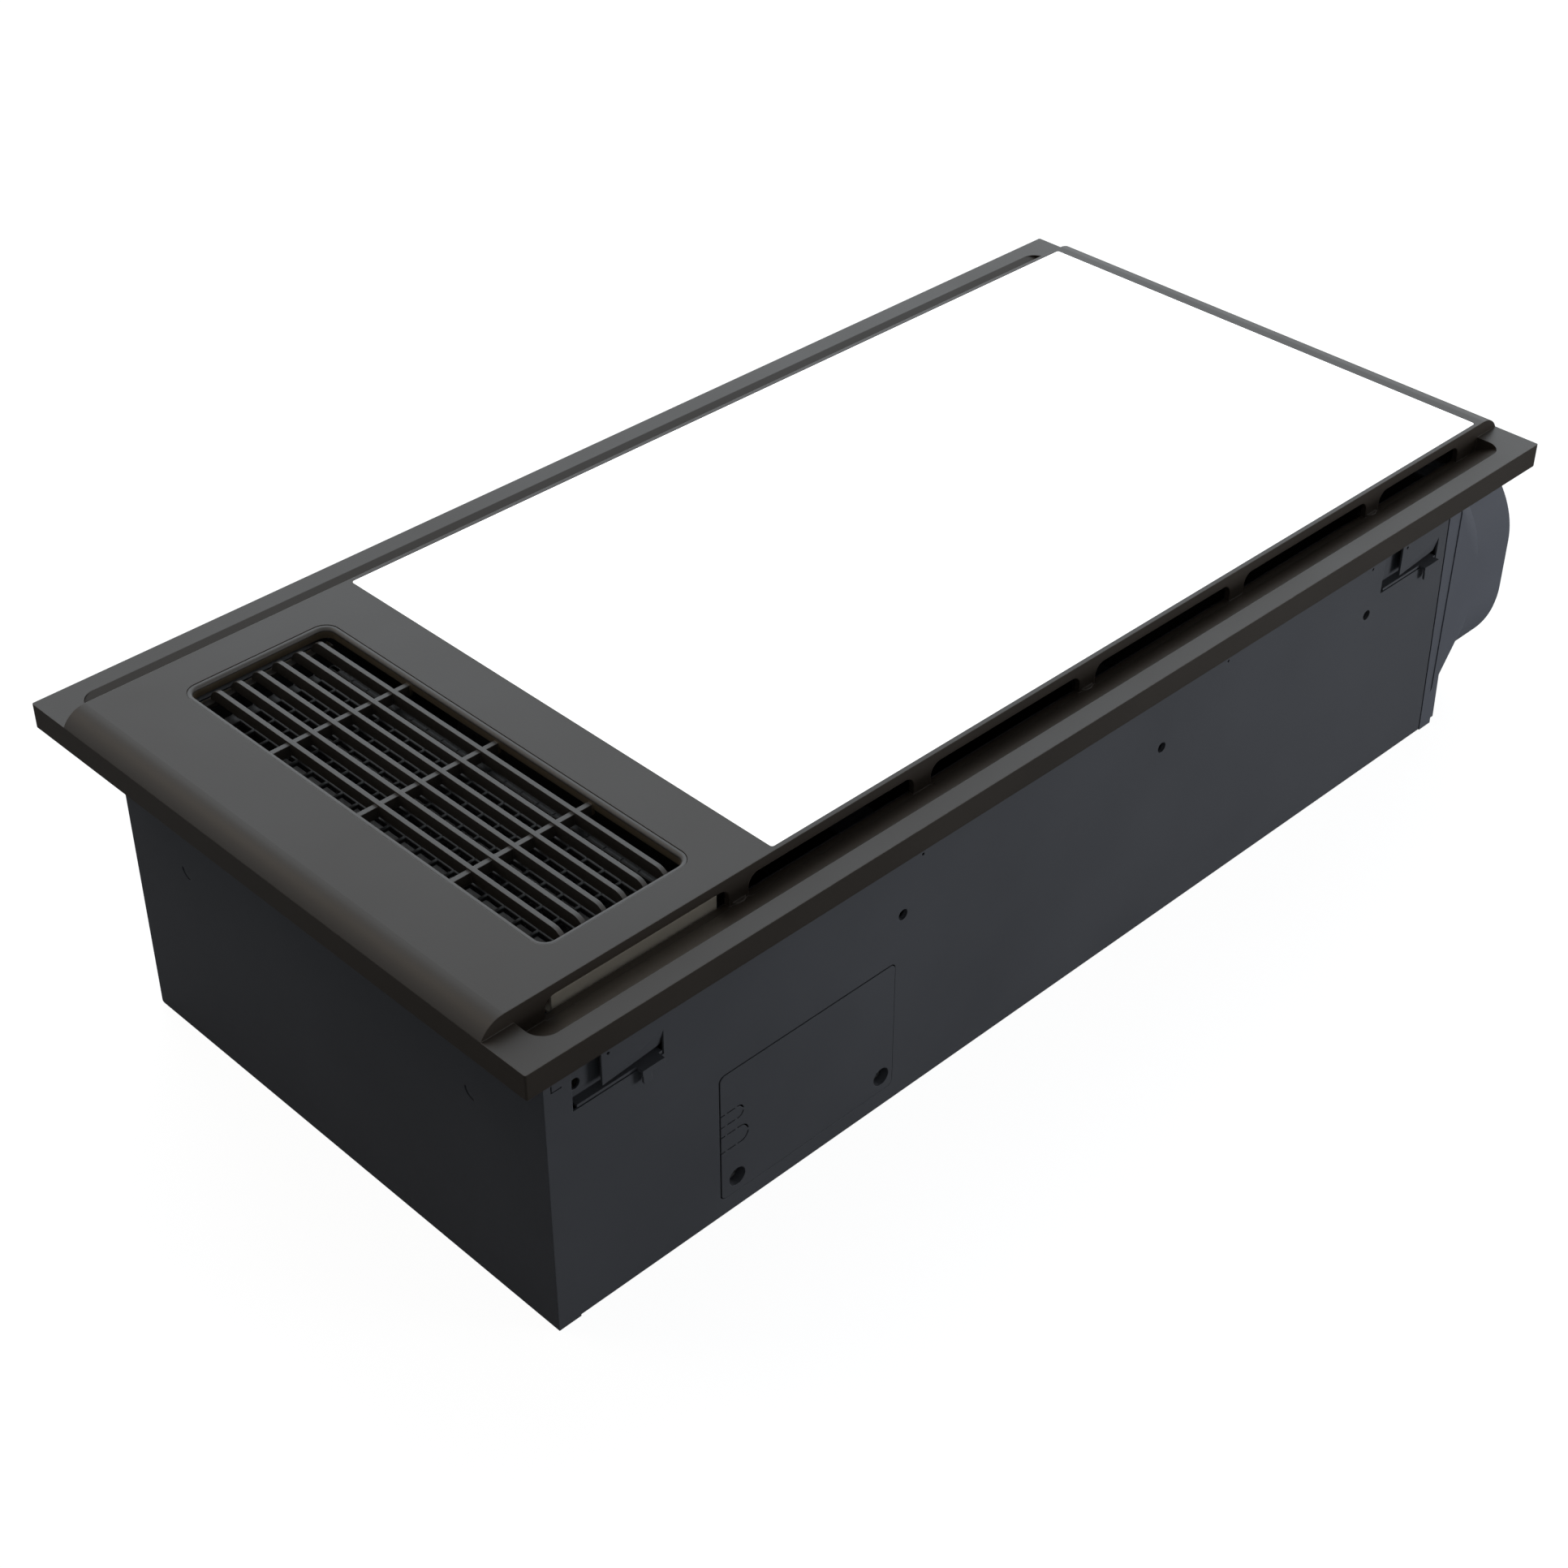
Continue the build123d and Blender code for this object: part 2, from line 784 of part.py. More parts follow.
# Outlet grille: collar that fills the opening, long bars with rounded ends, three cross bars
with BuildPart() as outlet_grille:
    round_slab(
        grille_x0 + seam,
        grille_x1 - seam,
        grille_y0 + seam,
        grille_y1 - seam,
        collar_low,
        collar_top,
        grille_corner - seam,
    )
    round_slab(
        grille_x0 - collar_flange_width,
        grille_x1 + collar_flange_width,
        grille_y0 - collar_flange_width,
        grille_y1 + collar_flange_width,
        ceiling_z - seam - collar_flange_thickness,
        ceiling_z - seam,
        grille_corner + collar_flange_width,
    )
    round_slab(
        grille_x0 + collar_wall,
        grille_x1 - collar_wall,
        grille_y0 + collar_wall,
        grille_y1 - collar_wall,
        collar_low,
        collar_top,
        grille_corner - collar_wall,
        mode=Mode.SUBTRACT,
    )
    rim_edges = outlet_grille.faces().sort_by(Axis.Z)[-1].inner_wires()[0].edges()
    fillet(rim_edges, collar_round)
    for x in bar_places:
        with BuildSketch(Plane.YZ.offset(x - long_bar_width / 2)) as bar:
            with Locations((grille_y, bar_top)):
                Rectangle(2 * bar_half, bar_top - rail_low, align=(Align.CENTER, Align.MAX))
            fillet(bar.vertices().group_by(Axis.Y)[-1], long_bar_end_radius)
            with Locations((grille_y, rail_low)):
                Rectangle(
                    2 * (bar_half - long_bar_end_gap),
                    bar_top - long_bar_height - rail_low,
                    align=(Align.CENTER, Align.MIN),
                    mode=Mode.SUBTRACT,
                )
        extrude(amount=long_bar_width)
    for i in (-1, 0, 1):
        y = grille_y + i * cross_bar_pitch
        block(
            grille_x0 + collar_wall / 2,
            grille_x1 - collar_wall / 2,
            y - cross_bar_width / 2,
            y + cross_bar_width / 2,
            top_z - cross_bar_drop - cross_bar_height,
            top_z - cross_bar_drop,
        )
    for side in (-1, 1):
        y = grille_y + side * (bar_half - end_rail_width / 2 + long_bar_width / 2)
        block(
            grille_x0 + collar_wall,
            grille_x1 - collar_wall,
            y - end_rail_width / 2,
            y + end_rail_width / 2,
            rail_low,
            rail_low + long_bar_width,
        )
save(outlet_grille.part, "outlet_grille")

# Guard mesh: a moulded net whose long ribs lie under the long bars
with BuildPart() as guard_mesh:
    with BuildSketch(Plane.XY.offset(guard_low)):
        with BuildLine():
            Polyline(
                (guard_x0, guard_y0),
                (guard_x1, guard_y0),
                (guard_x1, guard_y1),
                (guard_x0 + guard_corner_cut, guard_y1),
                (guard_x0, guard_y1 - guard_corner_cut),
                close=True,
            )
        make_face()
        for x in bar_places:
            for row in range(-guard_rows_near, guard_rows_far + 1):
                at_corner = x == bar_places[0] and row == guard_rows_far
                if not at_corner:
                    with Locations(
                        (x - long_bar_pitch / 2, grille_y + row * guard_row_pitch)
                    ):
                        Rectangle(
                            long_bar_pitch - guard_rib_long,
                            guard_row_pitch - guard_rib_short,
                            mode=Mode.SUBTRACT,
                        )
    extrude(amount=guard_thickness)
save(guard_mesh.part, "guard_mesh")

# Housing: a folded sheet pan with a leaning duct end and an inward flange round its mouth
catch_places = [wall_outlet + catch_outlet_inset, wall_duct - catch_duct_inset]
catch_low = housing_height - catch_drop
catch_slot_low = catch_low - catch_slot_clear
catch_slot_top = catch_slot_low + catch_slot_height
port_low = vent_base + vent_wall


def dent(x, side, inset, mode=Mode.ADD):
    """The three-sided hollow pressed into a wall above a catch's slot, set in by an inset."""
    y = side * (wall_side - inset)
    left = x - catch_window_lead + catch_window_length
    right = x + catch_slot_length
    with BuildSketch(Plane.XZ.offset(-y)) as mouth:
        with BuildLine():
            Polyline(
                (left, catch_slot_top),
                (right, catch_slot_top),
                (right, catch_slot_top + catch_dent_height),
                close=True,
            )
        make_face()
    deepest = Vertex(right, y - side * catch_dent_depth, catch_slot_top)
    loft([mouth.sketch.faces()[0], deepest], ruled=True, mode=mode)


with BuildPart() as housing:
    prism(
        Plane.XZ.offset(-wall_side),
        [
            (wall_outlet, 0),
            (duct_wall_x(0), 0),
            (duct_wall_x(housing_height), housing_height),
            (wall_outlet, housing_height),
        ],
        2 * wall_side,
    )
    # The bend along the foot of each long side stops short of the corner foot
    fillet(
        housing.edges().filter_by(Axis.X).group_by(Axis.Z)[0],
        housing_bend,
    )
    block(
        wall_outlet,
        wall_outlet + corner_foot_length,
        -wall_side,
        -wall_side + 2 * housing_bend,
        0,
        2 * housing_bend,
    )
    prism(
        Plane.XZ.offset(-wall_inside),
        [
            (wall_outlet + housing_sheet, floor_z),
            (duct_wall_x(floor_z) - housing_sheet, floor_z),
            (duct_wall_x(flange_low) - housing_sheet, flange_low),
            (wall_outlet + housing_sheet, flange_low),
        ],
        2 * wall_inside,
        mode=Mode.SUBTRACT,
    )
    block(
        wall_outlet + housing_flange,
        duct_wall_x(housing_height) - housing_flange,
        -wall_side + housing_flange,
        wall_side - housing_flange,
        flange_low,
        housing_height,
        mode=Mode.SUBTRACT,
    )
    # Catch windows and slots in both long sides
    for side in (-1, 1):
        wall_y0 = min(side * wall_side, side * wall_inside)
        wall_y1 = max(side * wall_side, side * wall_inside)
        for x in catch_places:
            dent(x, side, housing_sheet)
            dent(x, side, 0.0, mode=Mode.SUBTRACT)
            block(
                x - catch_window_lead,
                x - catch_window_lead + catch_window_length,
                wall_y0,
                wall_y1,
                catch_slot_low,
                housing_height - catch_window_drop,
                mode=Mode.SUBTRACT,
            )
            block(
                x,
                x + catch_slot_length,
                wall_y0,
                wall_y1,
                catch_slot_low,
                catch_slot_top,
                mode=Mode.SUBTRACT,
            )
        # Narrow slit with a foot beside the outlet end
        slit_x = wall_outlet + corner_slit_inset
        slit_low = housing_height - corner_slit_drop
        for reach, height in (
            (corner_slit_width, corner_slit_height),
            (corner_slit_length, corner_slit_width),
        ):
            block(
                slit_x,
                slit_x + reach,
                wall_y0,
                wall_y1,
                slit_low,
                slit_low + height,
                mode=Mode.SUBTRACT,
            )
    # Wiring hatch, round holes and dots in the near side
    with BuildSketch(Plane.XZ.offset(wall_inside)) as hatch:
        with Locations(
            (cover_x - cover_gap_wide, cover_low - cover_gap_tight),
        ):
            Rectangle(
                cover_length + cover_gap_wide + cover_gap_tight,
                cover_height + cover_gap_wide + cover_gap_tight,
                align=(Align.MIN, Align.MIN),
            )
        fillet(hatch.vertices(), cover_corner + 2 * cover_gap_tight)
    extrude(amount=housing_sheet, mode=Mode.SUBTRACT)
    for x in side_holes_x:
        rod(
            (x, -wall_side, side_hole_z),
            (0, 1, 0),
            side_hole_radius,
            housing_sheet,
            mode=Mode.SUBTRACT,
        )
    for x in dots_x:
        rod(
            (x, -wall_side, housing_height - dot_drop),
            (0, 1, 0),
            dot_radius,
            housing_sheet,
            mode=Mode.SUBTRACT,
        )
    # Two quarter-round lances through the outlet end
    for y in (-wall_side + lance_side_inset, wall_side - lance_side_inset):
        with BuildSketch(Plane.YZ.offset(wall_outlet)):
            with Locations((y, housing_height - lance_drop)):
                Circle(lance_radius + lance_slit / 2)
                Circle(lance_radius - lance_slit / 2, mode=Mode.SUBTRACT)
                Rectangle(
                    2 * lance_radius,
                    2 * lance_radius,
                    align=(Align.MIN, Align.MAX),
                    mode=Mode.INTERSECT,
                )
        extrude(amount=housing_sheet, mode=Mode.SUBTRACT)
    # Port for the extract blower in the leaning end
    block(
        duct_wall_x(housing_height) - 2 * housing_sheet,
        wall_duct + housing_sheet,
        port_y0 + vent_wall,
        port_y1 - vent_wall,
        port_low,
        vent_top,
        mode=Mode.SUBTRACT,
    )
    # Holes for the screws in the floor and in the leaning end
    for x, y in warm_screw_places + vent_screw_places + box_screw_places:
        rod((x, y, 0), (0, 0, 1), screw_radius + screw_fit, floor_z, mode=Mode.SUBTRACT)
    for y, z in adaptor_screw_places:
        rod(
            (duct_wall_x(z) - 2 * housing_sheet, y, z),
            (1, 0, 0),
            screw_radius + screw_fit,
            3 * housing_sheet,
            mode=Mode.SUBTRACT,
        )
    # Panel screw holes in the flange
    for side in (-1, 1):
        for x in boss_places:
            rod(
                (x, side * boss_y, flange_low),
                (0, 0, 1),
                screw_radius + screw_fit,
                housing_sheet,
                mode=Mode.SUBTRACT,
            )
save(housing.part, "housing")

with BuildPart() as panel_screws:
    for side in (-1, 1):
        for x in boss_places:
            pan_screw(
                (x, side * boss_y, housing_height + boss_height - seat_gap),
                (0, 0, -1),
                boss_height - seat_gap + housing_sheet,
            )
save(panel_screws.part, "panel_screws")

# Ceiling catches: a sprung leaf behind each window, hinged on an upright pin
catch_knuckle = catch_pin_radius + running_fit + catch_knuckle_wall
catch_pin_y = wall_side - catch_setback - catch_knuckle + seat_gap
catch_top = catch_low + catch_height
catch_lug_low = catch_low - catch_sheet - seat_gap - catch_lug_sheet
catch_lug_top = catch_top + catch_sheet + seat_gap


def catch_leaf(x, side):
    """One catch: leaf, knuckle, slot flange, tab, skirt and hook, on the side named by its sign."""
    outer = side * (wall_side - catch_setback)
    inner = side * (wall_side - catch_setback - catch_sheet)
    lip = side * (wall_side - seat_gap)
    reach = side * (wall_side + catch_tab_reach)
    skirt = side * (wall_side + catch_tab_reach - catch_skirt_sheet)
    pin_x = x - catch_pin_back
    tab_x = x + catch_tab_start
    with BuildPart() as leaf:
        block(
            pin_x, x + catch_length, min(outer, inner), max(outer, inner), catch_low, catch_top
        )
        rod(
            (pin_x, side * catch_pin_y, catch_low - catch_sheet),
            (0, 0, 1),
            catch_knuckle,
            catch_height + 2 * catch_sheet,
        )
        block(
            x + seat_gap,
            x + catch_length,
            min(lip, inner),
            max(lip, inner),
            catch_low,
            catch_low + catch_sheet,
        )
        block(
            tab_x,
            tab_x + catch_tab_length,
            min(reach, inner),
            max(reach, inner),
            catch_low,
            catch_low + catch_sheet,
        )
        block(
            tab_x,
            tab_x + catch_tab_length,
            min(reach, skirt),
            max(reach, skirt),
            catch_low - catch_skirt_depth,
            catch_low + catch_sheet,
        )
        with BuildSketch(Plane.XZ.offset(-skirt)) as hook:
            with Locations((tab_x + seat_gap, catch_low)):
                Rectangle(
                    catch_hook_width,
                    catch_skirt_depth + catch_hook_depth,
                    align=(Align.MIN, Align.MAX),
                )
            fillet(hook.vertices().group_by(Axis.Y)[0], catch_hook_round)
        extrude(amount=-side * catch_skirt_sheet)
        rod(
            (x + catch_length - 2 * catch_stop_radius, outer, catch_top - 2 * catch_stop_radius),
            (0, side, 0),
            catch_stop_radius,
            catch_setback - housing_sheet - seat_gap,
        )
        rod(
            (x + catch_hole_inset, side * (wall_inside - catch_height), catch_low + catch_hole_height),
            (0, side, 0),
            catch_hole_radius,
            catch_height,
            mode=Mode.SUBTRACT,
        )
        rod(
            (pin_x, side * catch_pin_y, catch_low - 2 * catch_sheet),
            (0, 0, 1),
            catch_pin_radius + running_fit,
            catch_height + 4 * catch_sheet,
            mode=Mode.SUBTRACT,
        )
    return leaf.part


catch_names = {
    (0, -1): "catch_near_outlet",
    (1, -1): "catch_near_duct",
    (0, 1): "catch_far_outlet",
    (1, 1): "catch_far_duct",
}
for (place, side), name in catch_names.items():
    save(catch_leaf(catch_places[place], side), name)

with BuildPart() as catch_pins:
    for x in catch_places:
        for side in (-1, 1):
            rod(
                (x - catch_pin_back, side * catch_pin_y, catch_lug_low),
                (0, 0, 1),
                catch_pin_radius,
                catch_lug_top + catch_lug_sheet - catch_lug_low,
            )
            rod(
                (x - catch_pin_back, side * catch_pin_y, catch_lug_top + catch_lug_sheet),
                (0, 0, 1),
                catch_pin_radius + catch_knuckle_wall,
                catch_lug_sheet / 2,
            )
save(catch_pins.part, "catch_pins")

with BuildPart() as catch_lugs:
    for x in catch_places:
        for side in (-1, 1):
            for low in (catch_lug_low, catch_lug_top):
                y_wall = side * wall_inside
                y_free = side * (catch_pin_y - catch_knuckle)
                block(
                    x - catch_pin_back - catch_lug_length / 2,
                    x - catch_pin_back + catch_lug_length / 2,
                    min(y_wall, y_free),
                    max(y_wall, y_free),
                    low,
                    low + catch_lug_sheet,
                )
    for x in catch_places:
        for side in (-1, 1):
            rod(
                (x - catch_pin_back, side * catch_pin_y, catch_lug_low),
                (0, 0, 1),
                catch_pin_radius + screw_fit,
                catch_lug_top + catch_lug_sheet - catch_lug_low,
                mode=Mode.SUBTRACT,
            )
save(catch_lugs.part, "catch_lugs")

# Wiring hatch: cover with two cups and two dashed knockouts, its screws and the box behind it
cover_screws_at = [
    (cover_x + cover_screw_inset_left, cover_low + cover_screw_rise),
    (cover_x + cover_length - cover_screw_inset_right, cover_low + cover_screw_rise),
]
cup_floor_y = -wall_side + cover_cup_depth
knockouts = [
    (knockout_low_rise, knockout_low_height, knockout_low_reach),
    (knockout_high_rise, knockout_high_height, knockout_high_reach),
]


def half_oval(rise, height, reach):
    """A knockout outline that starts at the cover's left edge, straight and then half round."""
    straight = reach - height / 2
    with Locations((cover_x + straight, cover_low + rise + height / 2)):
        Circle(height / 2)
    with Locations((cover_x, cover_low + rise)):
        Rectangle(straight, height, align=(Align.MIN, Align.MIN))


with BuildPart() as wiring_cover:
    with BuildSketch(Plane.XZ.offset(wall_inside)):
        with Locations((cover_x + cover_length / 2, cover_low + cover_height / 2)):
            RectangleRounded(cover_length, cover_height, cover_corner)
    extrude(amount=housing_sheet)
    for x, z in cover_screws_at:
        rod(
            (x, -wall_side, z),
            (0, 1, 0),
            cover_cup_radius + cover_cup_wall,
            cover_cup_depth + cover_cup_wall,
        )
    for x, z in cover_screws_at:
        rod((x, -wall_side, z), (0, 1, 0), cover_cup_radius, cover_cup_depth, mode=Mode.SUBTRACT)
        rod(
            (x, cup_floor_y, z),
            (0, 1, 0),
            cover_screw_radius + screw_fit,
            cover_cup_wall,
            mode=Mode.SUBTRACT,
        )
    for rise, height, reach in knockouts:
        with BuildSketch(Plane.XZ.offset(wall_inside)) as outside:
            half_oval(rise, height, reach)
        with BuildSketch(Plane.XZ.offset(wall_inside)) as inside:
            half_oval(rise + knockout_slit, height - 2 * knockout_slit, reach - knockout_slit)
        with BuildSketch(Plane.XZ.offset(wall_inside)) as ties:
            for tie in (knockout_first_tie, knockout_second_tie):
                with Locations((cover_x + tie, cover_low + rise + height / 2)):
                    Rectangle(knockout_tie, 2 * height)
            with Locations((cover_x + reach, cover_low + rise + height / 2)):
                Rectangle(height, knockout_tie)
        dashes = outside.sketch - inside.sketch - ties.sketch
        extrude(dashes, amount=housing_sheet, mode=Mode.SUBTRACT)
save(wiring_cover.part, "wiring_cover")

with BuildPart() as wiring_cover_screws:
    for x, z in cover_screws_at:
        pan_screw(
            (x, cup_floor_y + cover_screw_length, z),
            (0, -1, 0),
            cover_screw_length,
            shank=cover_screw_radius,
            head=cover_screw_head,
        )
save(wiring_cover_screws.part, "wiring_cover_screws")

wiring_x0 = cover_x + wiring_box_inset
wiring_x1 = cover_x + cover_length - wiring_box_wall
wiring_z0 = cover_low + wiring_box_wall
wiring_z1 = cover_low + cover_height - wiring_box_wall
wiring_back_y = -wall_inside + wiring_box_depth
lug_reach = cover_cup_depth + cover_cup_wall + cover_screw_length
block_x = (wiring_x0 + wiring_x1) / 2
block_low = wiring_z0 + wiring_box_wall + cover_screw_rise + cover_cup_radius
with BuildPart() as wiring_box:
    block(
        cover_x, cover_x + cover_length, -wall_inside, -wall_inside + wiring_box_wall,
        floor_z + seat_gap, cover_low + cover_height + 3 * wiring_box_wall,
    )
    block(wiring_x0, wiring_x1, -wall_inside, wiring_back_y, wiring_z0, wiring_z1)
    block(cover_x, wiring_x0, -wall_inside, -wall_inside + cord_recess_depth, wiring_z0, wiring_z1)
    for x, z in cover_screws_at:
        rod(
            (x, -wall_inside, z),
            (0, 1, 0),
            cover_cup_radius + cover_cup_wall + 2 * wiring_box_wall,
            lug_reach,
        )
    block(
        wiring_x0 + wiring_box_wall,
        wiring_x1 - wiring_box_wall,
        -wall_inside,
        wiring_back_y - wiring_box_wall,
        block_low,
        wiring_z1 - wiring_box_wall,
        mode=Mode.SUBTRACT,
    )
    # Recess behind the knockouts, where a cord comes in
    block(
        cover_x + wiring_box_wall,
        wiring_x0 + wiring_box_wall,
        -wall_inside,
        -wall_inside + cord_recess_depth - wiring_box_wall,
        block_low,
        wiring_z1 - wiring_box_wall,
        mode=Mode.SUBTRACT,
    )
    for x, z in cover_screws_at:
        rod(
            (x, -wall_inside, z),
            (0, 1, 0),
            cover_cup_radius + cover_cup_wall + screw_fit,
            cover_cup_depth + cover_cup_wall - housing_sheet,
            mode=Mode.SUBTRACT,
        )
        rod(
            (x, -wall_inside, z),
            (0, 1, 0),
            cover_screw_radius + screw_fit,
            lug_reach,
            mode=Mode.SUBTRACT,
        )
    rod(
        (block_x, wiring_back_y - wiring_box_wall, wiring_z1 - 2 * wiring_hole_radius),
        (0, 1, 0),
        wiring_hole_radius,
        wiring_box_wall,
        mode=Mode.SUBTRACT,
    )
save(wiring_box.part, "wiring_box")

with BuildPart() as terminal_block:
    block(
        block_x - terminal_length / 2,
        block_x + terminal_length / 2,
        wiring_back_y - wiring_box_wall - terminal_width,
        wiring_back_y - wiring_box_wall,
        block_low,
        block_low + terminal_height,
    )
    pole = terminal_length / terminal_poles
    for i in range(terminal_poles):
        x = block_x - terminal_length / 2 + (i + 0.5) * pole
        block(
            x - pole / 4,
            x + pole / 4,
            wiring_back_y - wiring_box_wall - terminal_width,
            wiring_back_y - wiring_box_wall - terminal_width / 2,
            block_low + terminal_height / 4,
            block_low + terminal_height,
            mode=Mode.SUBTRACT,
        )
save(terminal_block.part, "terminal_block")

clamp_x = wiring_x0 + wiring_box_wall + seat_gap
clamp_z = cover_low + knockout_low_rise + knockout_low_height / 2
with BuildPart() as cord_clamp:
    block(
        clamp_x,
        clamp_x + clamp_width,
        wiring_back_y - wiring_box_wall - clamp_thickness,
        wiring_back_y - wiring_box_wall,
        clamp_z - clamp_length / 2,
        clamp_z + clamp_length / 2,
    )
    rod(
        (clamp_x, wiring_back_y - wiring_box_wall - clamp_thickness, clamp_z),
        (1, 0, 0),
        clamp_thickness / 2,
        clamp_width,
        mode=Mode.SUBTRACT,
    )
save(cord_clamp.part, "cord_clamp")

# Duct adaptor: hollow slab on the leaning end, taper and rounded spigot
duct_y0 = -wall_side - duct_side_gap
duct_y = duct_y0 + duct_size / 2
duct_z = duct_low + duct_size / 2


def duct_section(plane_x, inset, corner):
    """The duct's rounded section on an upright plane, set in by a wall."""
    with BuildSketch(Plane.YZ.offset(plane_x)) as section:
        with Locations((duct_y, duct_z)):
            RectangleRounded(duct_size - 2 * inset, duct_size - 2 * inset, corner - inset)
    return section.sketch


with BuildPart() as duct_passage:
    extrude(
        duct_section(wall_duct - slab_thickness, adaptor_wall, duct_mouth_corner),
        amount=taper_start - wall_duct + slab_thickness,
    )
    loft(
        [
            duct_section(taper_start, adaptor_wall, duct_mouth_corner),
            duct_section(taper_end, adaptor_wall, duct_corner),
        ],
        ruled=True,
    )
    extrude(duct_section(taper_end, adaptor_wall, duct_corner), amount=spigot_end - taper_end)

pin_z = duct_z - flap_pin_drop
pin_x = flap_seat_x + flap_seat_thickness + flap_pin_clear
seat_size = duct_size - 2 * (adaptor_wall + flap_seat_width)
with BuildPart() as flap_seat:
    extrude(
        duct_section(flap_seat_x, adaptor_wall / 2, duct_mouth_corner),
        amount=flap_seat_thickness,
    )
    loft(
        [
            duct_section(taper_start, adaptor_wall / 2, duct_mouth_corner),
            duct_section(taper_end, adaptor_wall / 2, duct_corner),
        ],
        ruled=True,
        mode=Mode.INTERSECT,
    )
    with BuildSketch(Plane.YZ.offset(flap_seat_x)):
        with Locations((duct_y, duct_z)):
            RectangleRounded(seat_size, seat_size, duct_corner - adaptor_wall - flap_seat_width)
        with Locations((duct_y, pin_z + flap_knuckle_radius)):
            Rectangle(duct_size, duct_size, align=(Align.CENTER, Align.MAX), mode=Mode.SUBTRACT)
    extrude(amount=flap_seat_thickness, mode=Mode.SUBTRACT)

slab_inset_top = slab_top - adaptor_wall
with BuildPart() as slab_hollow:
    prism(
        Plane.XZ.offset(-slab_y1 + adaptor_wall),
        [
            (duct_wall_x(adaptor_wall), adaptor_wall),
            (slab_face_x(adaptor_wall) - slab_foot_step - adaptor_wall, adaptor_wall),
            (slab_face_x(slab_inset_top) - adaptor_wall, slab_inset_top),
            (duct_wall_x(slab_inset_top), slab_inset_top),
        ],
        slab_width - 2 * adaptor_wall,
    )
    # The collar round the passage and the screw bosses stay solid
    extrude(
        duct_section(wall_duct - slab_thickness, 0.0, duct_mouth_corner),
        amount=2 * slab_thickness,
        mode=Mode.SUBTRACT,
    )
    for y, z in adaptor_screw_places:
        rod(
            (wall_duct - slab_thickness, y, z),
            (1, 0, 0),
            slab_boss_radius,
            2 * slab_thickness,
            mode=Mode.SUBTRACT,
        )

with BuildPart() as duct_adaptor:
    prism(
        Plane.XZ.offset(-slab_y1),
        [
            (duct_wall_x(0) + duct_gasket_thickness, 0),
            (slab_face_x(0) - slab_foot_step, 0),
            (slab_face_x(slab_foot_height) - slab_foot_step, slab_foot_height),
            (slab_face_x(slab_foot_height), slab_foot_height),
            (slab_face_x(slab_top), slab_top),
            (duct_wall_x(slab_top) + duct_gasket_thickness, slab_top),
        ],
        slab_width,
    )
    add(slab_hollow.part, mode=Mode.SUBTRACT)
    loft(
        [
            duct_section(taper_start, 0.0, duct_mouth_corner),
            duct_section(taper_end, 0.0, duct_corner),
        ],
        ruled=True,
    )
    extrude(duct_section(taper_end, 0.0, duct_corner), amount=spigot_end - taper_end)
    add(duct_passage.part, mode=Mode.SUBTRACT)
    # Thin lip at the spigot's mouth
    with BuildSketch(Plane.YZ.offset(spigot_end - spigot_lip)):
        with Locations((duct_y, duct_z)):
            RectangleRounded(2 * duct_size, 2 * duct_size, duct_corner)
            RectangleRounded(
                duct_size - 2 * spigot_lip_step,
                duct_size - 2 * spigot_lip_step,
                duct_corner - spigot_lip_step,
                mode=Mode.SUBTRACT,
            )
    extrude(amount=spigot_lip, mode=Mode.SUBTRACT)
    add(flap_seat.part)
    # Ears that carry the flap's pin
    for side in (-1, 1):
        y = duct_y + side * flap_ear_spread / 2
        block(
            flap_seat_x,
            pin_x + flap_knuckle_radius,
            y - flap_ear_thickness / 2,
            y + flap_ear_thickness / 2,
            pin_z - flap_knuckle_radius,
            pin_z + flap_pin_radius + flap_ear_wall,
        )
    rod(
        (pin_x, duct_y - flap_ear_spread / 2 - 2 * flap_ear_thickness, pin_z),
        (0, 1, 0),
        flap_pin_radius + screw_fit,
        flap_ear_spread + 4 * flap_ear_thickness,
        mode=Mode.SUBTRACT,
    )
    for y, z in adaptor_screw_places:
        rod(
            (wall_duct - 2 * slab_thickness, y, z),
            (1, 0, 0),
            screw_radius + screw_fit,
            4 * slab_thickness,
            mode=Mode.SUBTRACT,
        )
save(duct_adaptor.part, "duct_adaptor")

gasket_top = slab_top - duct_gasket_inset
with BuildPart() as duct_gasket:
    prism(
        Plane.XZ.offset(-slab_y1 + duct_gasket_inset),
        [
            (duct_wall_x(duct_gasket_inset), duct_gasket_inset),
            (duct_wall_x(duct_gasket_inset) + duct_gasket_thickness, duct_gasket_inset),
            (duct_wall_x(gasket_top) + duct_gasket_thickness, gasket_top),
            (duct_wall_x(gasket_top), gasket_top),
        ],
        slab_width - 2 * duct_gasket_inset,
    )
    extrude(
        duct_section(wall_duct - slab_thickness, adaptor_wall, duct_mouth_corner),
        amount=2 * slab_thickness,
        mode=Mode.SUBTRACT,
    )
    for y, z in adaptor_screw_places:
        rod(
            (wall_duct - slab_thickness, y, z),
            (1, 0, 0),
            screw_radius + screw_fit,
            2 * slab_thickness,
            mode=Mode.SUBTRACT,
        )
save(duct_gasket.part, "duct_gasket")

with BuildPart() as flap_pin:
    rod(
        (pin_x, duct_y - flap_ear_spread / 2 - flap_ear_thickness, pin_z),
        (0, 1, 0),
        flap_pin_radius,
        flap_ear_spread + 2 * flap_ear_thickness,
    )
save(flap_pin.part, "flap_pin")

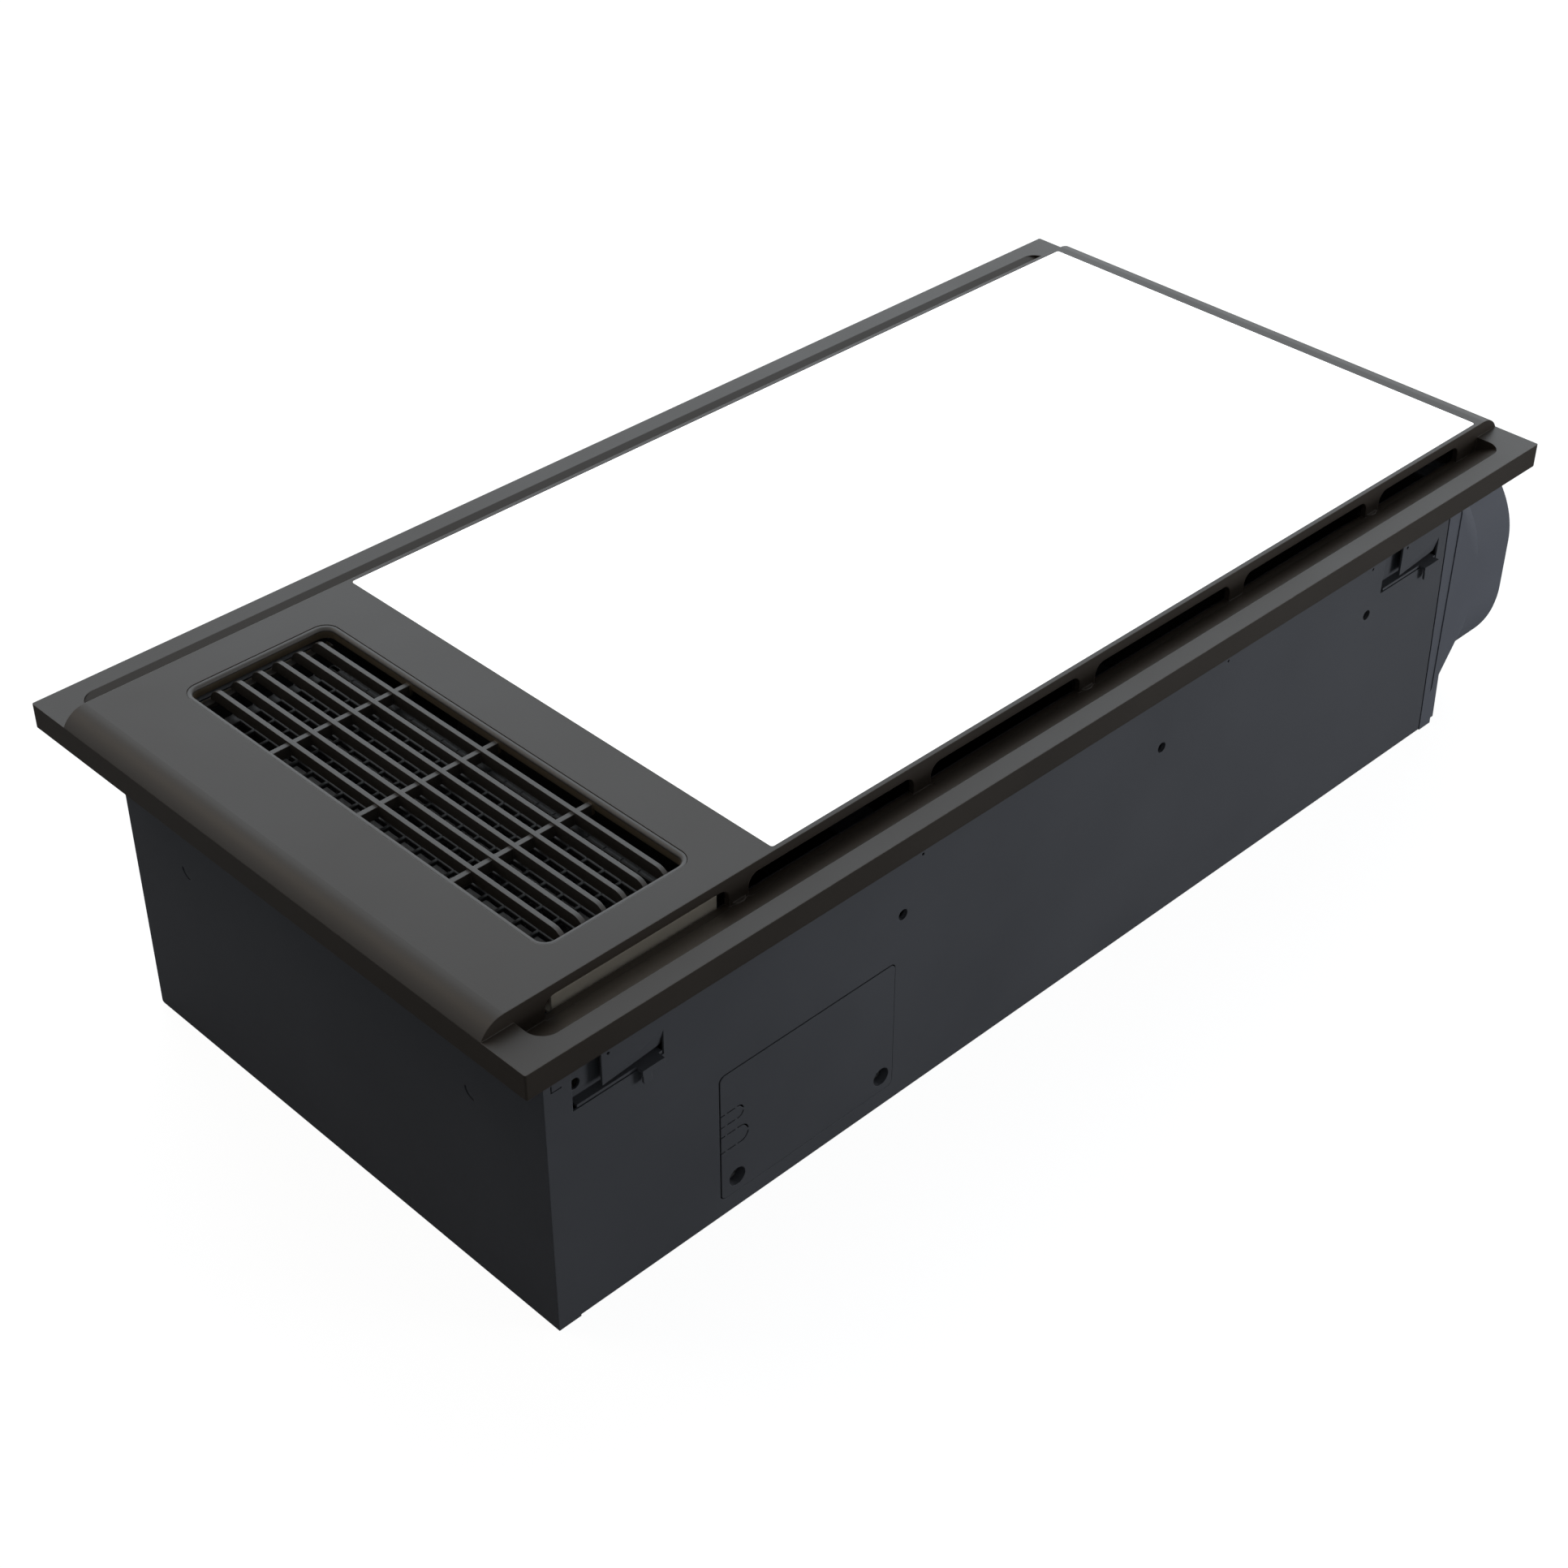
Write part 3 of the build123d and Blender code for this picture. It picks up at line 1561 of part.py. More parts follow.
flap_size = duct_size - 2 * (adaptor_wall + flap_gap)
flap_x0 = flap_seat_x + flap_seat_thickness + seat_gap
flap_low = pin_z + flap_knuckle_radius + seat_gap
with BuildPart() as backdraft_flap:
    with BuildSketch(Plane.YZ.offset(flap_x0)):
        with Locations((duct_y, duct_z)):
            RectangleRounded(flap_size, flap_size, duct_corner - adaptor_wall - flap_gap)
        with Locations((duct_y, flap_low)):
            Rectangle(duct_size, duct_size, align=(Align.CENTER, Align.MAX), mode=Mode.SUBTRACT)
    extrude(amount=flap_thickness)
    for side in (-1, 1):
        y = duct_y + side * flap_knuckle_spread / 2
        block(
            flap_x0,
            pin_x + flap_knuckle_radius / 2,
            y - flap_knuckle_length / 2,
            y + flap_knuckle_length / 2,
            pin_z,
            flap_low + flap_knuckle_radius,
        )
        rod(
            (pin_x, y - flap_knuckle_length / 2, pin_z),
            (0, 1, 0),
            flap_knuckle_radius,
            flap_knuckle_length,
        )
        block(
            flap_x0 + flap_thickness,
            flap_x0 + flap_thickness + flap_rib_height,
            y - flap_thickness / 2,
            y + flap_thickness / 2,
            flap_low,
            duct_z + flap_pin_drop / 2,
        )
    rod(
        (pin_x, duct_y - duct_size / 2, pin_z),
        (0, 1, 0),
        flap_pin_radius + running_fit,
        duct_size,
        mode=Mode.SUBTRACT,
    )
save(backdraft_flap.part, "backdraft_flap")

with BuildPart() as flap_spring:
    with BuildSketch(Plane.XZ.offset(-duct_y - flap_spring_length / 2)):
        with Locations((pin_x, pin_z)):
            Circle(flap_pin_radius + running_fit + flap_spring_wire)
            Circle(flap_pin_radius + running_fit, mode=Mode.SUBTRACT)
    extrude(amount=flap_spring_length)
save(flap_spring.part, "flap_spring")

# Heater module: galvanised box, element with folded fins between flat tubes, end caps, spades
box_slot_low = element_top - element_height
box_slot_top = element_top - 2 * spade_thickness
element_x0 = (box_x0 + box_x1 - element_width) / 2
spades_x = [box_x0 + box_length / 2 + i * spade_spacing for i in (-1, 0, 1)]
box_lip_y = -crown_inside + box_lip_inset
with BuildPart() as heater_box:
    block(box_x0, box_x1, box_near_y, box_far_y, floor_z, box_top)
    block(
        box_x0 + box_sheet,
        box_x1 - box_sheet,
        box_near_y + box_sheet,
        box_far_y - box_sheet,
        floor_z + box_sheet,
        box_top - box_sheet,
        mode=Mode.SUBTRACT,
    )
    block(
        box_x0 + box_flange_side,
        box_x1 - box_flange_duct_side,
        box_near_y + box_flange_side,
        box_far_y - box_flange_side,
        box_top - box_sheet,
        box_top,
        mode=Mode.SUBTRACT,
    )
    # Flange that rests on the housing's flange, with a lip that stands behind the first slot
    block(
        box_x0,
        box_x1,
        box_lip_y,
        box_near_y + box_sheet,
        housing_height,
        housing_height + box_sheet,
    )
    block(
        box_x0,
        box_x1,
        box_lip_y,
        box_lip_y + box_sheet,
        housing_height,
        ceiling_z - box_lip_drop,
    )
    for x, y in box_screw_places:
        rod((x, y, floor_z), (0, 0, 1), screw_radius + screw_fit, box_sheet, mode=Mode.SUBTRACT)
    block(
        box_x1 - box_sheet,
        box_x1,
        warm_scroll_y0 + warm_scroll_wall,
        warm_scroll_y1 - warm_scroll_wall,
        warm_low + warm_scroll_wall,
        warm_outlet_top - warm_scroll_wall,
        mode=Mode.SUBTRACT,
    )
    for x in spades_x:
        block(
            x - spade_width,
            x + spade_width,
            box_far_y - box_sheet,
            box_far_y,
            box_slot_low,
            box_slot_top,
            mode=Mode.SUBTRACT,
        )
save(heater_box.part, "heater_box")

tube_pitch = (element_width - tube_width) / (tube_count - 1)
tube_places = [element_x0 + tube_width / 2 + i * tube_pitch for i in range(tube_count)]
with BuildPart() as heater_tubes:
    for x in tube_places:
        block(
            x - tube_width / 2,
            x + tube_width / 2,
            element_near_y,
            element_far_y,
            element_top - element_height,
            element_top,
        )
save(heater_tubes.part, "heater_tubes")

with BuildPart() as heater_fins:
    fold = (element_far_y - element_near_y - 2 * seat_gap) / fin_folds
    for x in tube_places[:-1]:
        near_x = x + tube_width / 2 + seat_gap
        away_x = x + tube_pitch - tube_width / 2 - seat_gap - fin_sheet
        folds = [
            (near_x if i % 2 == 0 else away_x, element_near_y + seat_gap + i * fold)
            for i in range(fin_folds + 1)
        ]
        backs = [(fx + fin_sheet, fy) for fx, fy in reversed(folds)]
        prism(Plane.XY.offset(element_top - element_height), folds + backs, element_height)
save(heater_fins.part, "heater_fins")

with BuildPart() as heater_end_caps:
    for y0 in (element_near_y - end_cap_length, element_far_y):
        block(
            box_x0 + box_sheet + seat_gap,
            box_x1 - box_sheet - seat_gap,
            y0,
            y0 + end_cap_length,
            element_top - element_height - end_cap_lip,
            element_top + end_cap_lip,
        )
    for x in spades_x:
        block(
            x - spade_width / 2,
            x + spade_width / 2,
            element_far_y,
            element_far_y + end_cap_length,
            element_top - element_height / 2 - spade_thickness / 2,
            element_top - element_height / 2 + spade_thickness / 2,
            mode=Mode.SUBTRACT,
        )
save(heater_end_caps.part, "heater_end_caps")

with BuildPart() as heater_terminals:
    for x in spades_x:
        block(
            x - spade_width / 2,
            x + spade_width / 2,
            element_far_y,
            element_far_y + spade_length,
            element_top - element_height / 2 - spade_thickness / 2,
            element_top - element_height / 2 + spade_thickness / 2,
        )
save(heater_terminals.part, "heater_terminals")

cutout_z = element_top - element_height - 3 * cutout_radius
with BuildPart() as thermal_cutout:
    rod((box_x0 + box_length / 3, box_far_y, cutout_z), (0, 1, 0), cutout_radius, cutout_depth)
    for side in (-1, 1):
        x = box_x0 + box_length / 3 + side * cutout_radius / 2
        block(
            x - spade_width / 4,
            x + spade_width / 4,
            box_far_y + cutout_depth,
            box_far_y + cutout_depth + spade_width,
            cutout_z - spade_thickness / 2,
            cutout_z + spade_thickness / 2,
        )
save(thermal_cutout.part, "thermal_cutout")

with BuildPart() as thermal_fuse:
    rod(
        (box_x0 + 2 * box_length / 3, box_far_y + fuse_radius, cutout_z - fuse_length / 2),
        (0, 0, 1),
        fuse_radius,
        fuse_length,
    )
save(thermal_fuse.part, "thermal_fuse")


def four_centre_scroll(centre, first_radius, step, turns, straights):
    """Outline of a blower scroll drawn with quarter arcs whose radius grows by a fixed step.

    The arcs start beside the tongue; turns is 1 for a scroll that runs anticlockwise and -1 for
    a clockwise one; straights closes the outline round the outlet.
    """
    cx, cy = centre
    half = turns * step / 2
    centres = [
        (cx - half, cy + step / 2),
        (cx - half, cy - step / 2),
        (cx + half, cy - step / 2),
    ]
    first_start = 0.0 if turns > 0 else quarter
    with BuildLine() as outline:
        for i, arc_centre in enumerate(centres):
            start = first_start + turns * i * quarter
            CenterArc(arc_centre, first_radius + i * step, start, quarter)
        Polyline(straights)
    make_face(outline.edges())


def blade_wheel(plane, bore, radius, count, length):
    """A ring of forward-curved blades between a wheel's bore and its rim."""
    depth = radius - bore
    lead = depth / 2
    sag = depth / 6
    tip = sqrt(radius**2 - lead**2) - blade_sheet / 2
    with BuildSketch() as blade:
        with BuildLine():
            Polyline(
                (bore, 0),
                (bore + depth / 2, lead / 2 - sag),
                (tip, lead),
                (tip, lead - blade_sheet),
                (bore + depth / 2, lead / 2 - sag - blade_sheet),
                (bore, -blade_sheet),
                close=True,
            )
        make_face()
    with BuildSketch(plane) as blades:
        with PolarLocations(0, count):
            add(blade.sketch)
    extrude(blades.sketch, amount=length)


# Warm air blower: scroll, side plate with a bush, double-inlet wheel, shaft, motor and bracket
warm_first = warm_reach + warm_scroll_step / 2
warm_left = warm_x + warm_scroll_step / 2 - warm_first
warm_outline = [
    (warm_x - warm_scroll_step / 2, warm_low),
    (box_x1, warm_low),
    (box_x1, warm_outlet_top),
    (warm_left, warm_outlet_top),
    (warm_left, warm_z + warm_scroll_step / 2),
]
with BuildSketch(Plane.XZ) as warm_outer:
    four_centre_scroll((warm_x, warm_z), warm_first, warm_scroll_step, -1, warm_outline)
    fillet(
        warm_outer.vertices().sort_by_distance((warm_left, warm_outlet_top))[0],
        warm_tongue_radius,
    )

with BuildPart() as warm_scroll:
    with BuildSketch(Plane.XZ.offset(-warm_scroll_y1)):
        add(warm_outer.sketch_local)
    extrude(amount=warm_scroll_length - warm_scroll_wall)
    with BuildSketch(Plane.XZ.offset(-warm_scroll_y1 + warm_scroll_wall)):
        offset(warm_outer.sketch_local, amount=-warm_scroll_wall, mode=Mode.ADD)
        with Locations((box_x1, warm_low + warm_scroll_wall)):
            Rectangle(
                2 * warm_foot_width,
                warm_outlet_top - warm_low - 2 * warm_scroll_wall,
                align=(Align.CENTER, Align.MIN),
            )
    extrude(amount=warm_scroll_length, mode=Mode.SUBTRACT)
    rod(
        (warm_x, warm_scroll_y1 - 2 * warm_scroll_wall, warm_z),
        (0, 1, 0),
        warm_inlet_radius,
        4 * warm_scroll_wall,
        mode=Mode.SUBTRACT,
    )
    for x in warm_feet_x:
        block(
            x - warm_foot_width / 2,
            x + warm_foot_width / 2,
            warm_scroll_y0 + warm_scroll_wall,
            warm_scroll_y1,
            floor_z,
            warm_low,
        )
        block(
            x - warm_foot_width / 2,
            x + warm_foot_width / 2,
            warm_scroll_y0 - foot_length,
            warm_scroll_y1 + foot_length,
            floor_z,
            floor_z + foot_sheet,
        )
    for x, y in warm_screw_places:
        rod(
            (x, y, floor_z), (0, 0, 1), screw_radius + screw_fit, foot_sheet, mode=Mode.SUBTRACT
        )
save(warm_scroll.part, "warm_scroll")

strap_z = warm_z + warm_inlet_radius + 2 * spoke_width - 2 * bracket_sheet
warm_tab_x = side_holes_x[0]
warm_tab_z = strap_z + bracket_tab / 2
with BuildPart() as warm_side_plate:
    with BuildSketch(Plane.XZ.offset(-warm_scroll_y0 - warm_scroll_wall)):
        add(warm_outer.sketch_local)
    extrude(amount=warm_scroll_wall)
    rod(
        (warm_x, warm_scroll_y0, warm_z),
        (0, 1, 0),
        warm_inlet_radius,
        warm_scroll_wall,
        mode=Mode.SUBTRACT,
    )
    with BuildSketch(Plane.XZ.offset(-warm_scroll_y0 - warm_scroll_wall)):
        with Locations((warm_x, warm_z)):
            Circle(warm_shaft_radius + bush_wall + warm_scroll_wall)
            with PolarLocations(0, 3, start_angle=30):
                Rectangle(
                    warm_inlet_radius + warm_scroll_wall,
                    spoke_width,
                    align=(Align.MIN, Align.CENTER),
                )
            Circle(warm_shaft_radius + bush_wall, mode=Mode.SUBTRACT)
    extrude(amount=warm_scroll_wall)
    rod(
        (warm_tab_x, warm_scroll_y0, warm_tab_z),
        (0, 1, 0),
        screw_radius + screw_fit,
        warm_scroll_wall,
        mode=Mode.SUBTRACT,
    )
save(warm_side_plate.part, "warm_side_plate")

with BuildPart() as warm_bush:
    rod(
        (warm_x, warm_scroll_y0, warm_z),
        (0, 1, 0),
        warm_shaft_radius + bush_wall,
        bush_length,
    )
    rod(
        (warm_x, warm_scroll_y0, warm_z),
        (0, 1, 0),
        warm_shaft_radius + running_fit,
        bush_length,
        mode=Mode.SUBTRACT,
    )
save(warm_bush.part, "warm_bush")

warm_wheel_y0 = warm_scroll_y0 + warm_wheel_end_gap
warm_wheel_y1 = warm_scroll_y1 - warm_wheel_end_gap
with BuildPart() as warm_wheel:
    blade_wheel(
        Plane(origin=(warm_x, warm_wheel_y0, warm_z), x_dir=(1, 0, 0), z_dir=(0, 1, 0)),
        warm_wheel_bore,
        warm_wheel_radius,
        warm_blade_count,
        warm_wheel_y1 - warm_wheel_y0,
    )
    for y in (warm_wheel_y0, warm_wheel_y1 - ring_height):
        rod((warm_x, y, warm_z), (0, 1, 0), warm_wheel_radius, ring_height)
        rod((warm_x, y, warm_z), (0, 1, 0), warm_wheel_bore, ring_height, mode=Mode.SUBTRACT)
    rod(
        (warm_x, warm_y - wheel_disc / 2, warm_z),
        (0, 1, 0),
        warm_wheel_radius - blade_sheet,
        wheel_disc,
    )
    rod(
        (warm_x, warm_y - warm_hub_length / 2, warm_z),
        (0, 1, 0),
        warm_shaft_radius + bush_wall,
        warm_hub_length,
    )
    rod(
        (warm_x, warm_y - warm_hub_length / 2, warm_z),
        (0, 1, 0),
        warm_shaft_radius,
        warm_hub_length,
        mode=Mode.SUBTRACT,
    )
save(warm_wheel.part, "warm_wheel")

warm_motor_y = warm_scroll_y1 + warm_motor_gap
with BuildPart() as warm_shaft:
    rod(
        (warm_x, warm_scroll_y0, warm_z),
        (0, 1, 0),
        warm_shaft_radius,
        warm_motor_y + warm_motor_length / 2 - warm_scroll_y0,
    )
save(warm_shaft.part, "warm_shaft")

with BuildPart() as warm_motor:
    rod((warm_x, warm_motor_y, warm_z), (0, 1, 0), warm_motor_radius, warm_motor_length)
    chamfer(warm_motor.edges().filter_by(GeomType.CIRCLE), motor_round)
    rod(
        (warm_x, warm_motor_y, warm_z),
        (0, 1, 0),
        warm_shaft_radius + running_fit,
        warm_motor_length / 2 + running_fit,
        mode=Mode.SUBTRACT,
    )
save(warm_motor.part, "warm_motor")

with BuildPart() as warm_motor_bracket:
    leg_reach = warm_inlet_radius + 2 * spoke_width
    with BuildSketch(Plane.XZ.offset(-warm_motor_y)):
        with Locations((warm_x, warm_z)):
            Circle(2 * spoke_width)
            with PolarLocations(0, 3, start_angle=90):
                Rectangle(leg_reach, 2 * spoke_width, align=(Align.MIN, Align.CENTER))
            Circle(warm_shaft_radius + bush_wall, mode=Mode.SUBTRACT)
    extrude(amount=warm_scroll_wall)
    with BuildSketch(Plane.XZ.offset(-warm_motor_y)):
        with Locations((warm_x, warm_z)):
            with PolarLocations(0, 3, start_angle=90):
                with Locations((leg_reach - spoke_width / 2, 0)):
                    Rectangle(spoke_width, 2 * spoke_width)
    extrude(amount=warm_motor_gap)
save(warm_motor_bracket.part, "warm_motor_bracket")

# Extract blower: scroll on rubber mounts, cover with its inlet, dished wheel, shaft and motor
vent_first = vent_reach + vent_scroll_step / 2
vent_right = vent_x - vent_scroll_step / 2 + vent_first
vent_outline = [
    (vent_x + vent_scroll_step / 2, port_y0),
    (wall_duct, port_y0),
    (wall_duct, port_y1),
    (vent_right, port_y1),
    (vent_right, vent_y + vent_scroll_step / 2),
]
with BuildSketch(Plane.XY) as vent_outer:
    four_centre_scroll((vent_x, vent_y), vent_first, vent_scroll_step, 1, vent_outline)
    fillet(
        vent_outer.vertices().sort_by_distance((vent_right, port_y1))[0],
        vent_tongue_radius,
    )


def leaning_slab(inset, thickness, y0, y1, z0, z1, mode=Mode.ADD):
    """A slab that follows the housing's leaning end, set in from its inner face."""
    inner = inset + housing_sheet + thickness
    outer = inset + housing_sheet
    prism(
        Plane.XZ.offset(-y1),
        [
            (duct_wall_x(z0) - inner, z0),
            (duct_wall_x(z0) - outer, z0),
            (duct_wall_x(z1) - outer, z1),
            (duct_wall_x(z1) - inner, z1),
        ],
        y1 - y0,
        mode=mode,
    )


vent_tab_x = side_holes_x[2]
vent_tab_z = side_hole_z - bracket_margin + bracket_sheet / 2
with BuildPart() as vent_scroll:
    with BuildSketch(Plane.XY.offset(vent_base)):
        add(vent_outer.sketch_local)
    extrude(amount=vent_scroll_height)
    with BuildSketch(Plane.XY.offset(vent_base + vent_wall)):
        offset(vent_outer.sketch_local, amount=-vent_wall, mode=Mode.ADD)
        with Locations((wall_duct, port_y0 + vent_wall)):
            Rectangle(
                wall_duct - vent_right,
                vent_outlet_width - 2 * vent_wall,
                align=(Align.CENTER, Align.MIN),
            )
    extrude(amount=vent_scroll_height, mode=Mode.SUBTRACT)
    leaning_slab(
        -2 * gasket_width,
        gasket_thickness + 2 * gasket_width,
        port_y0 - vent_wall,
        port_y1 + vent_wall,
        vent_base - vent_wall,
        vent_top + vent_wall,
        mode=Mode.SUBTRACT,
    )
    for x, y in vent_screw_places:
        rod(
            (x, y, vent_base), (0, 0, 1), screw_radius + screw_fit, vent_wall, mode=Mode.SUBTRACT
        )
    rod(
        (vent_tab_x, port_y0, vent_tab_z),
        (0, 1, 0),
        screw_radius + screw_fit,
        vent_wall,
        mode=Mode.SUBTRACT,
    )
save(vent_scroll.part, "vent_scroll")

with BuildPart() as vent_cover:
    with BuildSketch(Plane.XY.offset(vent_top)):
        add(vent_outer.sketch_local)
        with Locations((vent_x, vent_y)):
            Circle(vent_inlet_radius, mode=Mode.SUBTRACT)
    extrude(amount=vent_wall)
    leaning_slab(
        -2 * gasket_width,
        gasket_thickness + 2 * gasket_width,
        port_y0 - vent_wall,
        port_y1 + vent_wall,
        vent_top - vent_wall,
        vent_top + 2 * vent_wall,
        mode=Mode.SUBTRACT,
    )
    with BuildSketch(Plane.XY.offset(vent_top)):
        with Locations((vent_x, vent_y)):
            Circle(vent_inlet_radius + vent_wall)
            Circle(vent_inlet_radius, mode=Mode.SUBTRACT)
    extrude(amount=2 * vent_wall)
    rod(
        (side_holes_x[1], vent_strap_y - vent_strap_screw, vent_top),
        (0, 0, 1),
        screw_radius + screw_fit,
        vent_wall,
        mode=Mode.SUBTRACT,
    )
save(vent_cover.part, "vent_cover")

with BuildPart() as vent_gasket:
    leaning_slab(0.0, gasket_thickness, port_y0, port_y1, vent_base, vent_top)
    block(
        vent_right,
        wall_duct,
        port_y0 + 2 * vent_wall,
        port_y1 - 2 * vent_wall,
        port_low + vent_wall,
        vent_top - vent_wall,
        mode=Mode.SUBTRACT,
    )
save(vent_gasket.part, "vent_gasket")

with BuildPart() as vent_mounts:
    for x, y in vent_screw_places:
        rod((x, y, floor_z), (0, 0, 1), mount_radius - mount_waist, vent_base - floor_z)
        rod((x, y, floor_z), (0, 0, 1), mount_radius, mount_flange)
        rod((x, y, vent_base - mount_flange), (0, 0, 1), mount_radius, mount_flange)
        rod(
            (x, y, floor_z),
            (0, 0, 1),
            screw_radius + screw_fit,
            vent_base - floor_z,
            mode=Mode.SUBTRACT,
        )
save(vent_mounts.part, "vent_mounts")

vent_motor_low = vent_base + vent_wall
vent_motor_top = vent_motor_low + vent_motor_height
vent_dish_z = vent_motor_top + seat_gap + vent_dish_sheet
vent_wheel_low = vent_motor_low + vent_wheel_gap
vent_wheel_height = vent_top - vent_wheel_head_gap - vent_wheel_low
vent_axis = Axis((vent_x, vent_y, 0), (0, 0, 1))
with BuildPart() as vent_wheel:
    blade_wheel(
        Plane(origin=(vent_x, vent_y, vent_wheel_low)),
        vent_wheel_bore,
        vent_wheel_radius,
        vent_blade_count,
        vent_wheel_height,
    )
    with BuildSketch(Plane.XZ.offset(-vent_y)):
        with BuildLine():
            Polyline(
                (vent_x + vent_hub_radius, vent_dish_z),
                (vent_x + vent_motor_radius + vent_dish_sheet, vent_dish_z),
                (vent_x + vent_wheel_bore - vent_dish_sheet, vent_wheel_low),
                (vent_x + vent_wheel_radius, vent_wheel_low),
                (vent_x + vent_wheel_radius, vent_wheel_low + vent_dish_sheet),
                (vent_x + vent_wheel_bore, vent_wheel_low + vent_dish_sheet),
                (
                    vent_x + vent_motor_radius + 2 * vent_dish_sheet,
                    vent_dish_z + vent_dish_sheet,
                ),
                (vent_x + vent_shaft_radius, vent_dish_z + vent_dish_sheet),
                (vent_x + vent_shaft_radius, vent_dish_z),
                close=True,
            )
        make_face()
        with Locations((vent_x + vent_wheel_bore, vent_wheel_low + vent_wheel_height - ring_height)):
            Rectangle(
                vent_wheel_radius - vent_wheel_bore, ring_height, align=(Align.MIN, Align.MIN)
            )
    revolve(axis=vent_axis)
    rod((vent_x, vent_y, vent_dish_z), (0, 0, 1), vent_hub_radius, vent_hub_height)
    rod(
        (vent_x, vent_y, vent_dish_z),
        (0, 0, 1),
        vent_shaft_radius,
        vent_hub_height,
        mode=Mode.SUBTRACT,
    )
save(vent_wheel.part, "vent_wheel")

with BuildPart() as vent_motor:
    rod((vent_x, vent_y, vent_motor_low), (0, 0, 1), vent_motor_radius, vent_motor_height)
    chamfer(vent_motor.edges().filter_by(GeomType.CIRCLE), motor_round)
    rod(
        (vent_x, vent_y, vent_motor_low + vent_wall),
        (0, 0, 1),
        vent_shaft_radius + running_fit,
        vent_motor_height,
        mode=Mode.SUBTRACT,
    )
save(vent_motor.part, "vent_motor")

with BuildPart() as vent_shaft:
    rod(
        (vent_x, vent_y, vent_motor_low + vent_wall + running_fit),
        (0, 0, 1),
        vent_shaft_radius,
        vent_dish_z + vent_hub_height + seat_gap - vent_motor_low - vent_wall,
    )
save(vent_shaft.part, "vent_shaft")

# Brackets welded to the near side of the housing, and the screws that tie them to the blowers
near_wall = -wall_inside


def wall_bracket(x, outline):
    """A folded sheet bracket, drawn across the housing and pushed out to its width."""
    prism(Plane.YZ.offset(x - bracket_width / 2), outline, bracket_width)


bracket_low = side_hole_z - bracket_width / 2
cover_top = vent_top + vent_wall
with BuildPart() as wall_brackets:
    wall_bracket(
        warm_tab_x,
        [
            (near_wall, bracket_low),
            (near_wall + bracket_sheet, bracket_low),
            (near_wall + bracket_sheet, strap_z - bracket_sheet),
            (warm_scroll_y0, strap_z - bracket_sheet),
            (warm_scroll_y0, strap_z + bracket_tab),
            (warm_scroll_y0 - bracket_sheet, strap_z + bracket_tab),
            (warm_scroll_y0 - bracket_sheet, strap_z),
            (near_wall, strap_z),
        ],
    )
    wall_bracket(
        side_holes_x[1],
        [
            (near_wall, bracket_low),
            (near_wall + bracket_sheet, bracket_low),
            (near_wall + bracket_sheet, cover_top),
            (vent_strap_y, cover_top),
            (vent_strap_y, cover_top + bracket_sheet),
            (near_wall, cover_top + bracket_sheet),
        ],
    )
    wall_bracket(
        vent_tab_x,
        [
            (near_wall, bracket_low),
            (port_y0, bracket_low),
            (port_y0, side_hole_z),
            (port_y0 - bracket_sheet, side_hole_z),
            (port_y0 - bracket_sheet, bracket_low + bracket_sheet),
            (near_wall + bracket_sheet, bracket_low + bracket_sheet),
            (near_wall + bracket_sheet, side_hole_z + bracket_margin),
            (near_wall, side_hole_z + bracket_margin),
        ],
    )
    for x in side_holes_x:
        rod(
            (x, near_wall, side_hole_z),
            (0, 1, 0),
            side_hole_radius,
            bracket_sheet,
            mode=Mode.SUBTRACT,
        )
    for x, y, z in (
        (warm_tab_x, warm_scroll_y0, warm_tab_z),
        (vent_tab_x, port_y0, vent_tab_z),
    ):
        rod(
            (x, y - bracket_sheet, z),
            (0, 1, 0),
            screw_radius + screw_fit,
            bracket_sheet,
            mode=Mode.SUBTRACT,
        )
    rod(
        (side_holes_x[1], vent_strap_y - vent_strap_screw, cover_top),
        (0, 0, 1),
        screw_radius + screw_fit,
        bracket_sheet,
        mode=Mode.SUBTRACT,
    )
save(wall_brackets.part, "wall_brackets")

with BuildPart() as side_screws:
    pan_screw(
        (warm_tab_x, warm_scroll_y0 + warm_scroll_wall + housing_sheet, warm_tab_z),
        (0, -1, 0),
        warm_scroll_wall + housing_sheet + bracket_sheet,
    )
    pan_screw(
        (vent_tab_x, port_y0 + vent_wall + housing_sheet, vent_tab_z),
        (0, -1, 0),
        vent_wall + housing_sheet + bracket_sheet,
    )
    pan_screw(
        (side_holes_x[1], vent_strap_y - vent_strap_screw, vent_top - housing_sheet),
        (0, 0, 1),
        vent_wall + housing_sheet + bracket_sheet,
    )
save(side_screws.part, "side_screws")

with BuildPart() as adaptor_screws:
    for y, z in adaptor_screw_places:
        reach = slab_face_x(z) - duct_wall_x(z) + 3 * housing_sheet
        pan_screw((slab_face_x(z) - reach, y, z), (1, 0, 0), reach + seat_gap / 2)
save(adaptor_screws.part, "adaptor_screws")

with BuildPart() as floor_screws:
    for x, y in warm_screw_places:
        pan_screw((x, y, seam), (0, 0, 1), floor_z + foot_sheet - seam)
    for x, y in vent_screw_places:
        pan_screw((x, y, seam), (0, 0, 1), vent_base + vent_wall - seam)
    for x, y in box_screw_places:
        pan_screw((x, y, seam), (0, 0, 1), floor_z + box_sheet - seam)
save(floor_screws.part, "floor_screws")

